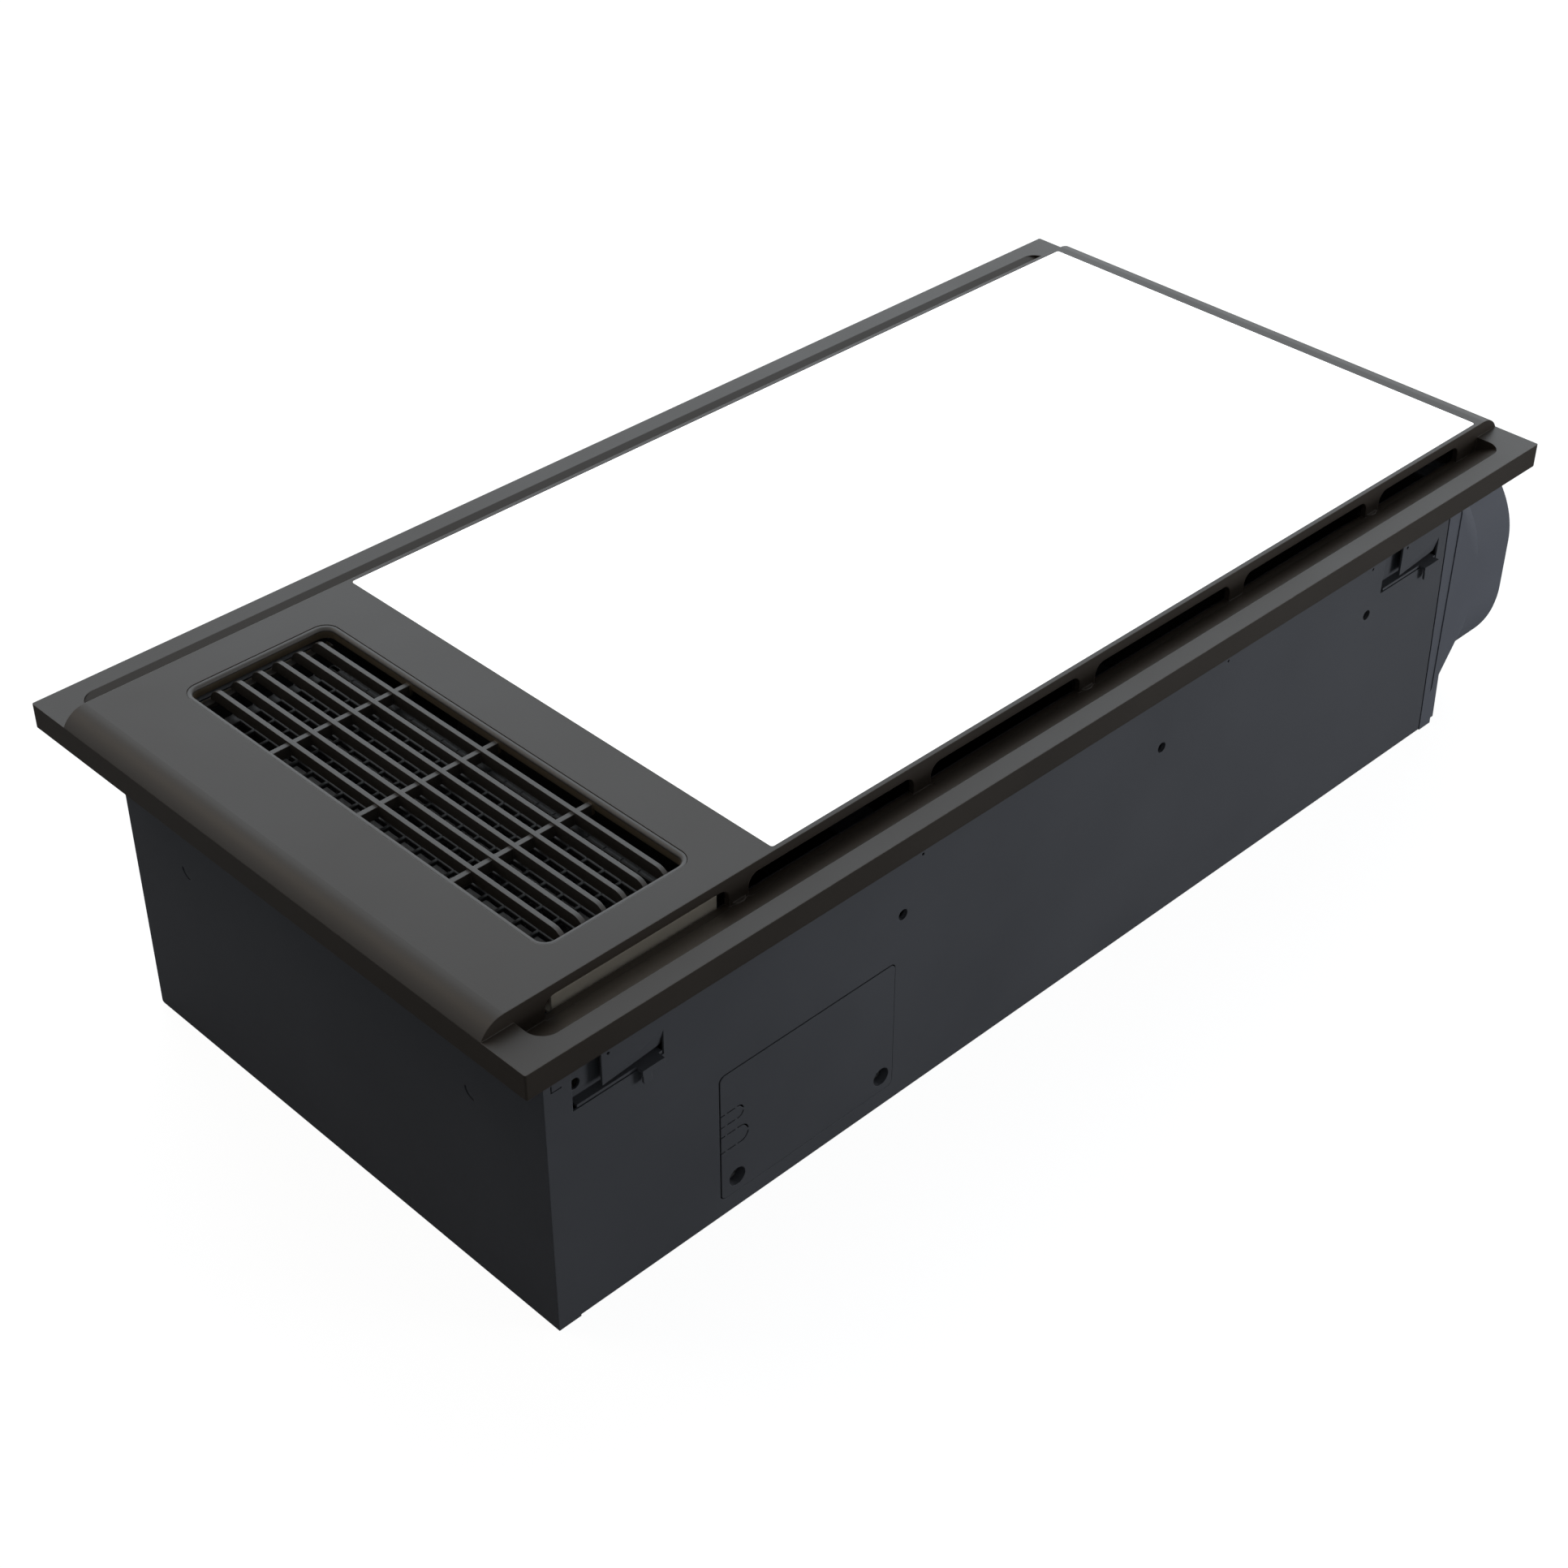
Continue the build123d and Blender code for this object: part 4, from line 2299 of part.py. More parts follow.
# Controls: board on standoffs with its relays, light driver, capacitor
board_low = floor_z + standoff_height
board_top = board_low + board_thickness
board_x0 = board_x - board_width / 2
board_x1 = board_x + board_width / 2
board_near_y = -wall_inside + board_near_gap
board_y1 = -board_mid_gap
board_screw_places = [
    (x, y)
    for x in (board_x0 + standoff_inset, board_x1 - standoff_inset)
    for y in (board_near_y + standoff_inset, board_y1 - standoff_inset)
]
with BuildPart() as board_standoffs:
    for x, y in board_screw_places:
        rod((x, y, floor_z), (0, 0, 1), standoff_radius, standoff_height)
        rod(
            (x, y, floor_z),
            (0, 0, 1),
            screw_radius + screw_fit,
            standoff_height,
            mode=Mode.SUBTRACT,
        )
save(board_standoffs.part, "board_standoffs")

with BuildPart() as control_board:
    block(board_x0, board_x1, board_near_y, board_y1, board_low, board_top)
    fillet(control_board.edges().filter_by(Axis.Z), board_thickness)
    for x, y in board_screw_places:
        rod(
            (x, y, board_low),
            (0, 0, 1),
            screw_radius + screw_fit,
            board_thickness,
            mode=Mode.SUBTRACT,
        )
save(control_board.part, "control_board")

with BuildPart() as board_screws:
    for x, y in board_screw_places:
        pan_screw((x, y, floor_z + seam), (0, 0, 1), board_top - floor_z - seam)
save(board_screws.part, "board_screws")

with BuildPart() as board_relays:
    for i in range(relay_count):
        y = board_near_y + relay_pitch / 2 + standoff_inset + i * relay_pitch
        block(
            board_x - relay_length / 2,
            board_x + relay_length / 2,
            y - relay_width / 2,
            y + relay_width / 2,
            board_top,
            board_top + relay_height,
        )
save(board_relays.part, "board_relays")

with BuildPart() as light_driver:
    block(
        board_x - driver_width / 2,
        board_x + driver_width / 2,
        driver_mid_gap,
        wall_inside - driver_far_gap,
        floor_z,
        floor_z + driver_height,
    )
    fillet(light_driver.edges().filter_by(Axis.Y).group_by(Axis.Z)[-1], motor_round)
save(light_driver.part, "light_driver")

with BuildPart() as motor_capacitor:
    block(
        board_x - capacitor_length / 2,
        board_x + capacitor_length / 2,
        (board_y1 + driver_mid_gap - capacitor_width) / 2,
        (board_y1 + driver_mid_gap + capacitor_width) / 2,
        floor_z,
        floor_z + capacitor_height,
    )
    fillet(motor_capacitor.edges().filter_by(Axis.Z), motor_round)
save(motor_capacitor.part, "motor_capacitor")
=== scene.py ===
"""Bathroom ceiling heater: the finishes, fine detail, light and camera around the fixed frame."""

import logging
import math
from dataclasses import dataclass
from enum import Enum
from functools import cache

import bmesh
import bpy
from mathutils import Matrix, Vector


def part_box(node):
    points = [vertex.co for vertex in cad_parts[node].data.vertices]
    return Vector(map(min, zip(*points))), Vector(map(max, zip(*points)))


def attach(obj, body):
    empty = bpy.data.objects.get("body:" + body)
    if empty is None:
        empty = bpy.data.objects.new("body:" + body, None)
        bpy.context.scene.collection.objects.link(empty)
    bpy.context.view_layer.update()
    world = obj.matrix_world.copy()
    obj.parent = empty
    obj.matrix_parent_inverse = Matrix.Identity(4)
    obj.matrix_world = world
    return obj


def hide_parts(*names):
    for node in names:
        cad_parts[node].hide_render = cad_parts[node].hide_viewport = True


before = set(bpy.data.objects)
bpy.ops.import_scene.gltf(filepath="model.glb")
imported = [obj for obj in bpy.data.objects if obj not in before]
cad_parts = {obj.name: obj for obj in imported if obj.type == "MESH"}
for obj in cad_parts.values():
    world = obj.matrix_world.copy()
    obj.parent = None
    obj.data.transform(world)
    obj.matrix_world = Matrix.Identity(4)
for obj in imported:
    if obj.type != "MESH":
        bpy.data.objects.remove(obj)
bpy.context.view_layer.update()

Socket = bpy.types.NodeSocket
Number = float | Socket
Shade = tuple[int, int, int]
Colour = tuple[float, float, float, float]
Triple = tuple[float, float, float]
Pair = tuple[float, float]

LOG = logging.getLogger("ceiling_heater")
MM = 0.001
CASING = "casing"
SHARP_ANGLE = math.radians(35)
MERGE_GAP = 0.01 * MM
SORT_DIGITS = 4
WHITE = (1.0, 1.0, 1.0, 1.0)
FLOAT = "NodeSocketFloat"
VECTOR = "NodeSocketVector"

# The curve of a display: the end and slope of its straight foot, its offset and its power
FOOT_END, FOOT_SLOPE, CURVE_OFFSET, CURVE_POWER = 0.04045, 12.92, 0.055, 2.4
# The part of a skin's patches that counts, how far they sway the gloss, and the least lift of an
# edge's painted highlight
PATCH_LOW, PATCH_HIGH = 0.3, 0.7
GLOSS_SWAY = 0.06
LEAST_LIFT = 0.02


class Surface(Enum):
    """The kinds of skin that a finish may have."""

    GRAINED = "grained"
    SPANGLED = "spangled"
    BRUSHED = "brushed"


class Facing(Enum):
    """The way that the head of a screw points."""

    UP = (0.0, 0.0, 1.0)
    DOWN = (0.0, 0.0, -1.0)
    DUCT = (1.0, 0.0, 0.0)
    NEAR = (0.0, -1.0, 0.0)


def linear(shade: Shade) -> Colour:
    """Turn a display shade into the linear colour that shaders use.

    Args:
        shade: Red, green and blue from 0 to 255.

    Returns:
        The colour with an alpha of one.
    """
    values = []
    for channel in shade:
        part = channel / 255
        curved = ((part + CURVE_OFFSET) / (1 + CURVE_OFFSET)) ** CURVE_POWER
        values.append(part / FOOT_SLOPE if part <= FOOT_END else curved)
    return values[0], values[1], values[2], 1.0


class Wires:
    """A small helper that adds nodes to a tree and joins their sockets."""

    def __init__(self, tree: bpy.types.NodeTree) -> None:
        """Keep the tree to fill."""
        self.tree = tree

    def add(self, kind: str, values: dict | None = None, **props: object) -> bpy.types.Node:
        """Add a node, set its properties and its input values.

        Args:
            kind: The node's type name.
            values: Input values, or sockets to join, by socket name or number.
            **props: Plain properties of the node.

        Returns:
            The new node.
        """
        node = self.tree.nodes.new(kind)
        for name, value in props.items():
            setattr(node, name, value)
        for key, value in (values or {}).items():
            if isinstance(value, Socket):
                self.tree.links.new(value, node.inputs[key])
            else:
                node.inputs[key].default_value = value
        return node

    def make(self, kind: str, values: dict | None = None, **props: object) -> Socket:
        """Add a node in the same way and give its first output."""
        return self.add(kind, values, **props).outputs[0]

    def join(self, source: Socket, target: Socket) -> None:
        """Join an output socket to an input socket."""
        self.tree.links.new(source, target)

    def work(self, operation: str, *terms: Number) -> Socket:
        """Add a Math node for some numbers or sockets and give its result."""
        return self.make("ShaderNodeMath", dict(enumerate(terms)), operation=operation)

    def spot(self, x: Number = 0.0, y: Number = 0.0, z: Number = 0.0) -> Socket:
        """Combine three numbers or sockets into a vector."""
        return self.make("ShaderNodeCombineXYZ", {"X": x, "Y": y, "Z": z})

    def length(self, vector: Socket) -> Socket:
        """Give the length of a vector."""
        return self.add("ShaderNodeVectorMath", {0: vector}, operation="LENGTH").outputs["Value"]

    def place(self) -> Socket:
        """Read the Object coordinates."""
        return self.add("ShaderNodeTexCoord").outputs["Object"]

    def blend(self, mask: Socket, under: Socket, over: Colour) -> Socket:
        """Lay a plain colour over another one where a mask is one.

        Args:
            mask: The mask.
            under: The colour below.
            over: The colour on top.

        Returns:
            The blended colour.
        """
        mixed = self.add("ShaderNodeMix", {"Factor": mask}, data_type="RGBA")
        below, above = (socket for socket in mixed.inputs if socket.type == "RGBA")
        self.join(under, below)
        above.default_value = over
        return next(socket for socket in mixed.outputs if socket.type == "RGBA")


def fresh_wires(owner: bpy.types.Material | bpy.types.World) -> Wires:
    """Empty the node tree of a material or a world and give its wires."""
    owner.use_nodes = True
    owner.node_tree.nodes.clear()
    return Wires(owner.node_tree)


def stand(name: str, data: bpy.types.ID) -> bpy.types.Object:
    """Put an object with some data into the scene and give it."""
    thing = bpy.data.objects.new(name, data)
    bpy.context.scene.collection.objects.link(thing)
    return thing


class SkinGroups:
    """Shader node groups that several finishes share, each built once."""

    @staticmethod
    def start(name: str, inputs: dict[str, float],
              outputs: dict[str, str]) -> tuple[Wires, bpy.types.NodeOutputs]:
        """Open a new group with its sockets.

        Args:
            name: The group's name.
            inputs: Float inputs with their defaults.
            outputs: Output names with their socket types.

        Returns:
            The wires of the empty group and the sockets of its inputs.
        """
        tree = bpy.data.node_groups.new(name, "ShaderNodeTree")
        for label, default in inputs.items():
            socket = tree.interface.new_socket(label, in_out="INPUT", socket_type=FLOAT)
            socket.default_value = default
        for label, kind in outputs.items():
            tree.interface.new_socket(label, in_out="OUTPUT", socket_type=kind)
        wires = Wires(tree)
        return wires, wires.add("NodeGroupInput").outputs

    @classmethod
    @cache
    def grain(cls) -> bpy.types.NodeTree:
        """Fine grain of a moulded, painted or plain skin, with a slow drift of tone.

        Returns:
            The group with outputs Height and Tone.
        """
        wires, given = cls.start(
            "fine_grain", {"Scale": 1800.0, "Drift Scale": 14.0}, {"Height": FLOAT, "Tone": FLOAT}
        )
        place = wires.place()
        fine = wires.make(
            "ShaderNodeTexNoise",
            {"Vector": place, "Scale": given["Scale"], "Detail": 2.0, "Roughness": 0.6},
        )
        slow = wires.make(
            "ShaderNodeTexNoise",
            {"Vector": place, "Scale": given["Drift Scale"], "Detail": 3.0, "Roughness": 0.55},
        )
        wires.add("NodeGroupOutput", {"Height": fine, "Tone": slow})
        return wires.tree

    @classmethod
    @cache
    def spangle(cls) -> bpy.types.NodeTree:
        """Crystal patches of a zinc-dipped sheet.

        Returns:
            The group with outputs Height and Tone.
        """
        wires, given = cls.start(
            "zinc_spangle",
            {"Scale": 260.0, "Warp Scale": 420.0, "Warp": 0.002},
            {"Height": FLOAT, "Tone": FLOAT},
        )
        place = wires.place()
        warp = wires.add(
            "ShaderNodeTexNoise", {"Vector": place, "Scale": given["Warp Scale"], "Detail": 3.0}
        )
        bent = wires.make(
            "ShaderNodeVectorMath",
            {0: warp.outputs["Color"], 1: given["Warp"], 2: place},
            operation="MULTIPLY_ADD",
        )
        cells = wires.add("ShaderNodeTexVoronoi", {"Vector": bent, "Scale": given["Scale"]})
        tone = wires.make("ShaderNodeSeparateColor", {"Color": cells.outputs["Color"]})
        wires.add("NodeGroupOutput", {"Height": cells.outputs["Distance"], "Tone": tone})
        return wires.tree

    @classmethod
    @cache
    def brushing(cls) -> bpy.types.NodeTree:
        """Long fine scratches of a rolled or turned metal.

        Returns:
            The group with outputs Height and Tone.
        """
        wires, given = cls.start(
            "brushed_lines", {"Scale": 900.0, "Stretch": 0.03}, {"Height": FLOAT, "Tone": FLOAT}
        )
        drawn = wires.make(
            "ShaderNodeMapping",
            {"Vector": wires.place(), "Scale": wires.spot(1.0, given["Stretch"], 1.0)},
        )
        lines = wires.make(
            "ShaderNodeTexNoise", {"Vector": drawn, "Scale": given["Scale"], "Detail": 3.0}
        )
        wires.add("NodeGroupOutput", {"Height": lines, "Tone": lines})
        return wires.tree

    @classmethod
    @cache
    def edges(cls) -> bpy.types.NodeTree:
        """Rounded edges: a softened normal and a mask that is one along sharp corners, where the
        painted edge highlight goes.

        Returns:
            The group with outputs Edge and Normal.
        """
        wires, given = cls.start(
            "rounded_edges", {"Radius": 0.0005, "Gain": 3.0}, {"Edge": FLOAT, "Normal": VECTOR}
        )
        soft = wires.make("ShaderNodeBevel", {"Radius": given["Radius"]}, samples=4)
        flat = wires.add("ShaderNodeNewGeometry").outputs["Normal"]
        meet = wires.add("ShaderNodeVectorMath", {0: soft, 1: flat}, operation="DOT_PRODUCT")
        away = wires.work("SUBTRACT", 1.0, meet.outputs["Value"])
        edge = wires.make(
            "ShaderNodeMath", {0: away, 1: given["Gain"]}, operation="MULTIPLY", use_clamp=True
        )
        wires.add("NodeGroupOutput", {"Edge": edge, "Normal": soft})
        return wires.tree

    @classmethod
    @cache
    def band(cls) -> bpy.types.NodeTree:
        """A mask of all but the inner field of a rounded rectangle, up to a level.

        Returns:
            The group with the output Mask.
        """
        wires, given = cls.start(
            "inner_band",
            {"Middle X": 0.0, "Middle Y": 0.0, "Half X": 0.1, "Half Y": 0.1, "Corner": 0.007,
             "Width": 0.002, "Level": 1.0},
            {"Mask": FLOAT},
        )
        parts = wires.add("ShaderNodeSeparateXYZ", {"Vector": wires.place()}).outputs
        over = []
        for axis in "XY":
            off = wires.work("SUBTRACT", parts[axis], given[f"Middle {axis}"])
            flat = wires.work("SUBTRACT", given[f"Half {axis}"], given["Corner"])
            over.append(wires.work("SUBTRACT", wires.work("ABSOLUTE", off), flat))
        outside = wires.length(wires.spot(*(wires.work("MAXIMUM", part, 0.0) for part in over)))
        within = wires.work("MINIMUM", wires.work("MAXIMUM", *over), 0.0)
        inset = wires.work("SUBTRACT", given["Corner"], wires.work("ADD", outside, within))
        near = wires.work("LESS_THAN", inset, given["Width"])
        deep = wires.work("LESS_THAN", parts["Z"], given["Level"])
        wires.add("NodeGroupOutput", {"Mask": wires.work("MULTIPLY", near, deep)})
        return wires.tree


@dataclass(frozen=True)
class Band:
    """Another tone outside the outlet's rounded opening and in a band inside it, in mm: painted
    warm light on the grille's collar, and the zinc's own tone around painted shade on the heater
    box.
    """

    width: float
    level: float
    shade: Shade
    low: Pair = (-258.5, -111.0)
    high: Pair = (-186.6, 108.0)
    corner: float = 7.0

    def mask(self, wires: Wires) -> Socket:
        """Add the band's mask to a material.

        Args:
            wires: The wires of the material.

        Returns:
            A socket that is one in the band and outside it, below its level.
        """
        sizes = {"Corner": self.corner, "Width": self.width, "Level": self.level}
        for axis, low, high in zip("XY", self.low, self.high):
            sizes[f"Middle {axis}"] = (low + high) / 2
            sizes[f"Half {axis}"] = (high - low) / 2
        scaled = {label: size * MM for label, size in sizes.items()}
        return wires.make("ShaderNodeGroup", scaled, node_tree=SkinGroups.band())


@dataclass(frozen=True)
class Finish:
    """A finish of the heater: its colour, gloss and the fine structure of its skin."""

    name: str
    shade: Shade
    surface: Surface = Surface.GRAINED
    roughness: float = 0.5
    specular: float = 0.5
    metallic: float = 0.0
    drift: float = 0.08
    grain_scale: float | None = None
    grain_depth: float = 0.00002
    edge_radius: float = 0.0004
    # How far the colour is lifted along sharp edges, as a painted highlight
    edge_highlight: float = 0.5
    glow: float = 0.0
    clear: float = 0.0
    band: Band | None = None

    def material(self) -> bpy.types.Material:
        """Give this finish's material, built the first time."""
        found = bpy.data.materials.get(self.name)
        return found if found else self.build()

    def skin(self, wires: Wires) -> tuple[Socket, Socket]:
        """Add the skin's fine structure.

        Args:
            wires: The wires of the material.

        Returns:
            The height of the skin and its patches of tone.
        """
        groups = {Surface.GRAINED: SkinGroups.grain, Surface.SPANGLED: SkinGroups.spangle,
                  Surface.BRUSHED: SkinGroups.brushing}
        values = {"Scale": self.grain_scale} if self.grain_scale else {}
        node = wires.add("ShaderNodeGroup", values, node_tree=groups[self.surface]())
        return node.outputs["Height"], node.outputs["Tone"]

    @staticmethod
    def sway(wires: Wires, patch: Socket, middle: float, share: float, clamp: bool) -> Socket:
        """Let a value sway with the patches of a skin.

        Args:
            wires: The wires of the material.
            patch: The patches.
            middle: The middle of the value.
            share: How far it sways, as a share of its middle.
            clamp: Whether it stops there.

        Returns:
            The value.
        """
        return wires.make(
            "ShaderNodeMapRange",
            {"Value": patch, "From Min": PATCH_LOW, "From Max": PATCH_HIGH,
             "To Min": middle * (1.0 - share), "To Max": middle * (1.0 + share)},
            clamp=clamp,
        )

    def build(self) -> bpy.types.Material:
        """Build the node tree of the finish.

        Returns:
            The new material.
        """
        made = bpy.data.materials.new(self.name)
        wires = fresh_wires(made)
        shader = wires.add(
            "ShaderNodeBsdfPrincipled",
            {"Roughness": self.roughness, "Metallic": self.metallic,
             "Specular IOR Level": self.specular, "Transmission Weight": self.clear,
             "Emission Color": WHITE, "Emission Strength": self.glow},
        )
        wires.add("ShaderNodeOutputMaterial", {"Surface": shader.outputs["BSDF"]})
        height, patch = self.skin(wires)
        edges = wires.add(
            "ShaderNodeGroup", {"Radius": self.edge_radius}, node_tree=SkinGroups.edges()
        ).outputs
        base = linear(self.shade)
        tone = self.sway(wires, patch, 1.0, self.drift, clamp=False)
        colour = wires.make(
            "ShaderNodeVectorMath", {0: base[:3], "Scale": tone}, operation="SCALE"
        )
        # The band's tone goes by the outlet's opening: painted warm light on the grille, the
        # zinc's own tone around painted shade on the box
        if self.band:
            colour = wires.blend(self.band.mask(wires), colour, linear(self.band.shade))
        # Along sharp edges the colour is lifted into a painted highlight
        worn = [min(1.0, part + self.edge_highlight * (part + LEAST_LIFT)) for part in base[:3]]
        colour = wires.blend(edges["Edge"], colour, (*worn, 1.0))
        gloss = self.sway(wires, patch, self.roughness, GLOSS_SWAY, clamp=True)
        bump = wires.make(
            "ShaderNodeBump",
            {"Strength": 1.0, "Distance": self.grain_depth, "Height": height,
             "Normal": edges["Normal"]},
        )
        for label, source in (("Base Color", colour), ("Roughness", gloss), ("Normal", bump)):
            wires.join(source, shader.inputs[label])
        return made


PANEL = Finish("panel_satin", (43, 37, 31), roughness=0.45, specular=0.35, drift=0.05,
               edge_highlight=2.0)
# The tan band along the inside of the collar is painted warm light on the collar walls
GRILLE = Finish("grille_satin", (44, 40, 36), roughness=0.43, drift=0.05, edge_highlight=2.0,
                band=Band(width=2.7, level=161.2, shade=(88, 77, 61)))
GUARD = Finish("guard_matt", (16, 17, 19), specular=0.3)
DIFFUSER = Finish("diffuser_opal", (250, 250, 250), drift=0.0, grain_depth=0.000002,
                  edge_highlight=0.0, glow=1.0)
GUIDE = Finish("guide_clear", (240, 243, 245), roughness=0.08, drift=0.0, grain_depth=0.000001,
               clear=0.9)
WHITE_SHEET = Finish("reflector_white", (238, 238, 236), roughness=0.6)
LAMP_BOARD = Finish("lamp_board", (225, 224, 214))
HOUSING = Finish("housing_paint", (82, 83, 87), roughness=0.55, specular=0.15,
                 grain_scale=2600.0, drift=0.05)
# Near-black painted shade for parts deep inside the housing: the light's back tray and the wiring
# box
INNER_PAINTED_SHADE = Finish("inner_painted_shade", (24, 25, 27), roughness=0.55, specular=0.3)
# Inside the outlet's opening the sheet is near-black painted shade; outside it the band keeps the
# zinc's own pale tone
GALVANISED = Finish(
    "galvanised_sheet", (40, 39, 37), Surface.SPANGLED, roughness=0.55, metallic=0.3, drift=0.07,
    grain_scale=1100.0, grain_depth=0.000004, edge_radius=0.00005,
    band=Band(width=0.0, level=200.0, shade=(226, 217, 200)),
)
ZINC = Finish("zinc_plated", (176, 177, 175), Surface.BRUSHED, roughness=0.35, metallic=0.9,
              grain_depth=0.00001)
DARK_SCREW = Finish("dark_screw", (30, 31, 33), roughness=0.4)
ADAPTOR = Finish("adaptor_moulded", (96, 98, 105), specular=0.15, drift=0.05)
FLAP = Finish("flap_moulded", (40, 41, 44))
ALUMINIUM = Finish("mill_aluminium", (92, 92, 92), Surface.BRUSHED, metallic=0.95,
                   grain_depth=0.00001)
HEATER_CAP = Finish("heater_cap", (13, 13, 13), roughness=0.7, specular=0.2)
CUTOUT_SHELL = Finish("cutout_shell", (120, 84, 52))
SCROLL = Finish("scroll_moulded", (24, 25, 27), roughness=0.45)
WHEEL = Finish("wheel_moulded", (40, 41, 44), roughness=0.45)
MOTOR = Finish("motor_steel", (84, 86, 90), Surface.BRUSHED, roughness=0.4, metallic=0.6,
               grain_depth=0.00001)
RUBBER = Finish("soft_rubber", (18, 18, 19), roughness=0.75, specular=0.3)
BRONZE = Finish("sintered_bronze", (150, 112, 62), Surface.BRUSHED, roughness=0.45,
                metallic=0.9, grain_depth=0.00001)
BOARD = Finish("circuit_board", (22, 84, 48), roughness=0.4)
NATURAL = Finish("natural_moulded", (214, 213, 206))
RELAY = Finish("relay_moulded", (28, 58, 128), roughness=0.4)


class Recipe:
    """A Geometry Nodes tree with named inputs, run once and kept as a plain mesh."""

    def __init__(self, name: str, sizes: dict[str, float | int], finish: Finish) -> None:
        """Open the tree with its inputs.

        Args:
            name: Name of the tree and of the piece that it makes.
            sizes: Numbers by input name; a whole number makes a whole-number input.
            finish: The finish that the piece wears.
        """
        self.name = name
        self.sizes = sizes
        self.finish = finish
        self.tree = bpy.data.node_groups.new(name, "GeometryNodeTree")
        self.wires = Wires(self.tree)
        self.socket("Geometry", "INPUT", "NodeSocketGeometry")
        for label, value in sizes.items():
            self.socket(label, "INPUT", "NodeSocketInt" if isinstance(value, int) else FLOAT)
        self.socket("Finish", "INPUT", "NodeSocketMaterial")
        self.socket("Geometry", "OUTPUT", "NodeSocketGeometry")
        self.given = self.wires.add("NodeGroupInput").outputs

    def socket(self, label: str, way: str, kind: str) -> None:
        """Add one socket to the tree's interface."""
        self.tree.interface.new_socket(label, in_out=way, socket_type=kind)

    def take(self, *labels: str) -> tuple[Socket, ...]:
        """Give the sockets of some named inputs."""
        return tuple(self.given[label] for label in labels)

    def gather(self, *shapes: Socket) -> Socket:
        """Join several geometries into one."""
        node = self.wires.add("GeometryNodeJoinGeometry")
        for shape in shapes:
            self.wires.join(shape, node.inputs[0])
        return node.outputs[0]

    def move(self, shape: Socket, way: Socket | Triple, turn: Triple = (0.0, 0.0, 0.0)) -> Socket:
        """Turn a shape and then move it."""
        return self.wires.make(
            "GeometryNodeTransform", {"Geometry": shape, "Translation": way, "Rotation": turn}
        )

    def row(self, shape: Socket, count: Socket, first: Socket, step: Socket) -> Socket:
        """Repeat a shape along a straight row.

        Args:
            shape: The shape to repeat.
            count: How many there are.
            first: Place of the first.
            step: Way from one to the next.

        Returns:
            The instances.
        """
        line = self.wires.make(
            "GeometryNodeMeshLine",
            {"Count": count, "Start Location": first, "Offset": step},
            mode="OFFSET",
        )
        return self.wires.make("GeometryNodeInstanceOnPoints", {"Points": line, "Instance": shape})

    def sweep(self, path: Socket, section: Socket, upright: bool = True) -> Socket:
        """Sweep a section along a path, with its ends closed.

        Args:
            path: The curve to follow.
            section: The section's outline.
            upright: Whether the section's height stays along Z.

        Returns:
            The mesh.
        """
        if upright:
            path = self.wires.make("GeometryNodeSetCurveNormal", {"Curve": path}, mode="Z_UP")
        return self.wires.make(
            "GeometryNodeCurveToMesh",
            {"Curve": path, "Profile Curve": section, "Fill Caps": True},
        )

    def bar(self, start: Socket, stop: Socket, width: Socket, height: Socket,
            rounding: Socket) -> Socket:
        """A straight bar with rounded edges between two points.

        Args:
            start: Its first end.
            stop: Its other end.
            width: Its width across.
            height: Its height along Z.
            rounding: Radius of its long edges.

        Returns:
            The bar's mesh.
        """
        line = self.wires.make("GeometryNodeCurvePrimitiveLine", {"Start": start, "End": stop})
        section = self.wires.make(
            "GeometryNodeCurvePrimitiveQuadrilateral", {"Width": width, "Height": height}
        )
        eased = self.wires.make(
            "GeometryNodeFilletCurve",
            {"Curve": section, "Radius": rounding, "Count": 2, "Limit Radius": True},
            mode="POLY",
        )
        return self.sweep(line, eased)

    def close(self, shape: Socket) -> None:
        """Make the instances real, set the material and end the tree."""
        real = self.wires.make("GeometryNodeRealizeInstances", {"Geometry": shape})
        worn = self.wires.make(
            "GeometryNodeSetMaterial", {"Geometry": real, "Material": self.given["Finish"]}
        )
        self.wires.add("NodeGroupOutput", {"Geometry": worn})

    def run(self, places: list[Vector] | None = None,
            reaches: list[float] | None = None) -> bpy.types.Object:
        """Evaluate the tree once and keep its result as a plain mesh.

        Args:
            places: Points that the tree works on, if it needs any.
            reaches: A length for each point.

        Returns:
            The finished piece.
        """
        seeds = bpy.data.meshes.new(self.name)
        seeds.from_pydata(places or [], [], [])
        if reaches:
            reach = seeds.attributes.new("reach", "FLOAT", "POINT")
            reach.data.foreach_set("value", reaches)
        thing = stand(self.name, seeds)
        modifier = thing.modifiers.new("shape", "NODES")
        modifier.node_group = self.tree
        values = {**self.sizes, "Finish": self.finish.material()}
        for item in self.tree.interface.items_tree:
            if item.in_out == "INPUT" and item.name in values:
                modifier[item.identifier] = values[item.name]
        graph = bpy.context.evaluated_depsgraph_get()
        mesh = bpy.data.meshes.new_from_object(thing.evaluated_get(graph))
        thing.modifiers.clear()
        thing.data = mesh
        mesh.name = self.name
        mesh.shade_smooth()
        mesh.set_sharp_from_angle(angle=SHARP_ANGLE)
        return thing


def place_piece(thing: bpy.types.Object, body: str, slot: str, *nodes: str) -> None:
    """Let a finished piece ride on a body and stand for CAD nodes.

    Args:
        thing: The piece.
        body: The body that it moves with.
        slot: The record's material slot; not used.
        *nodes: The CAD nodes that it stands for.
    """
    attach(thing, body)
    if nodes:
        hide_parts(*nodes)
    LOG.info("%s has %d faces", thing.name, len(thing.data.polygons))


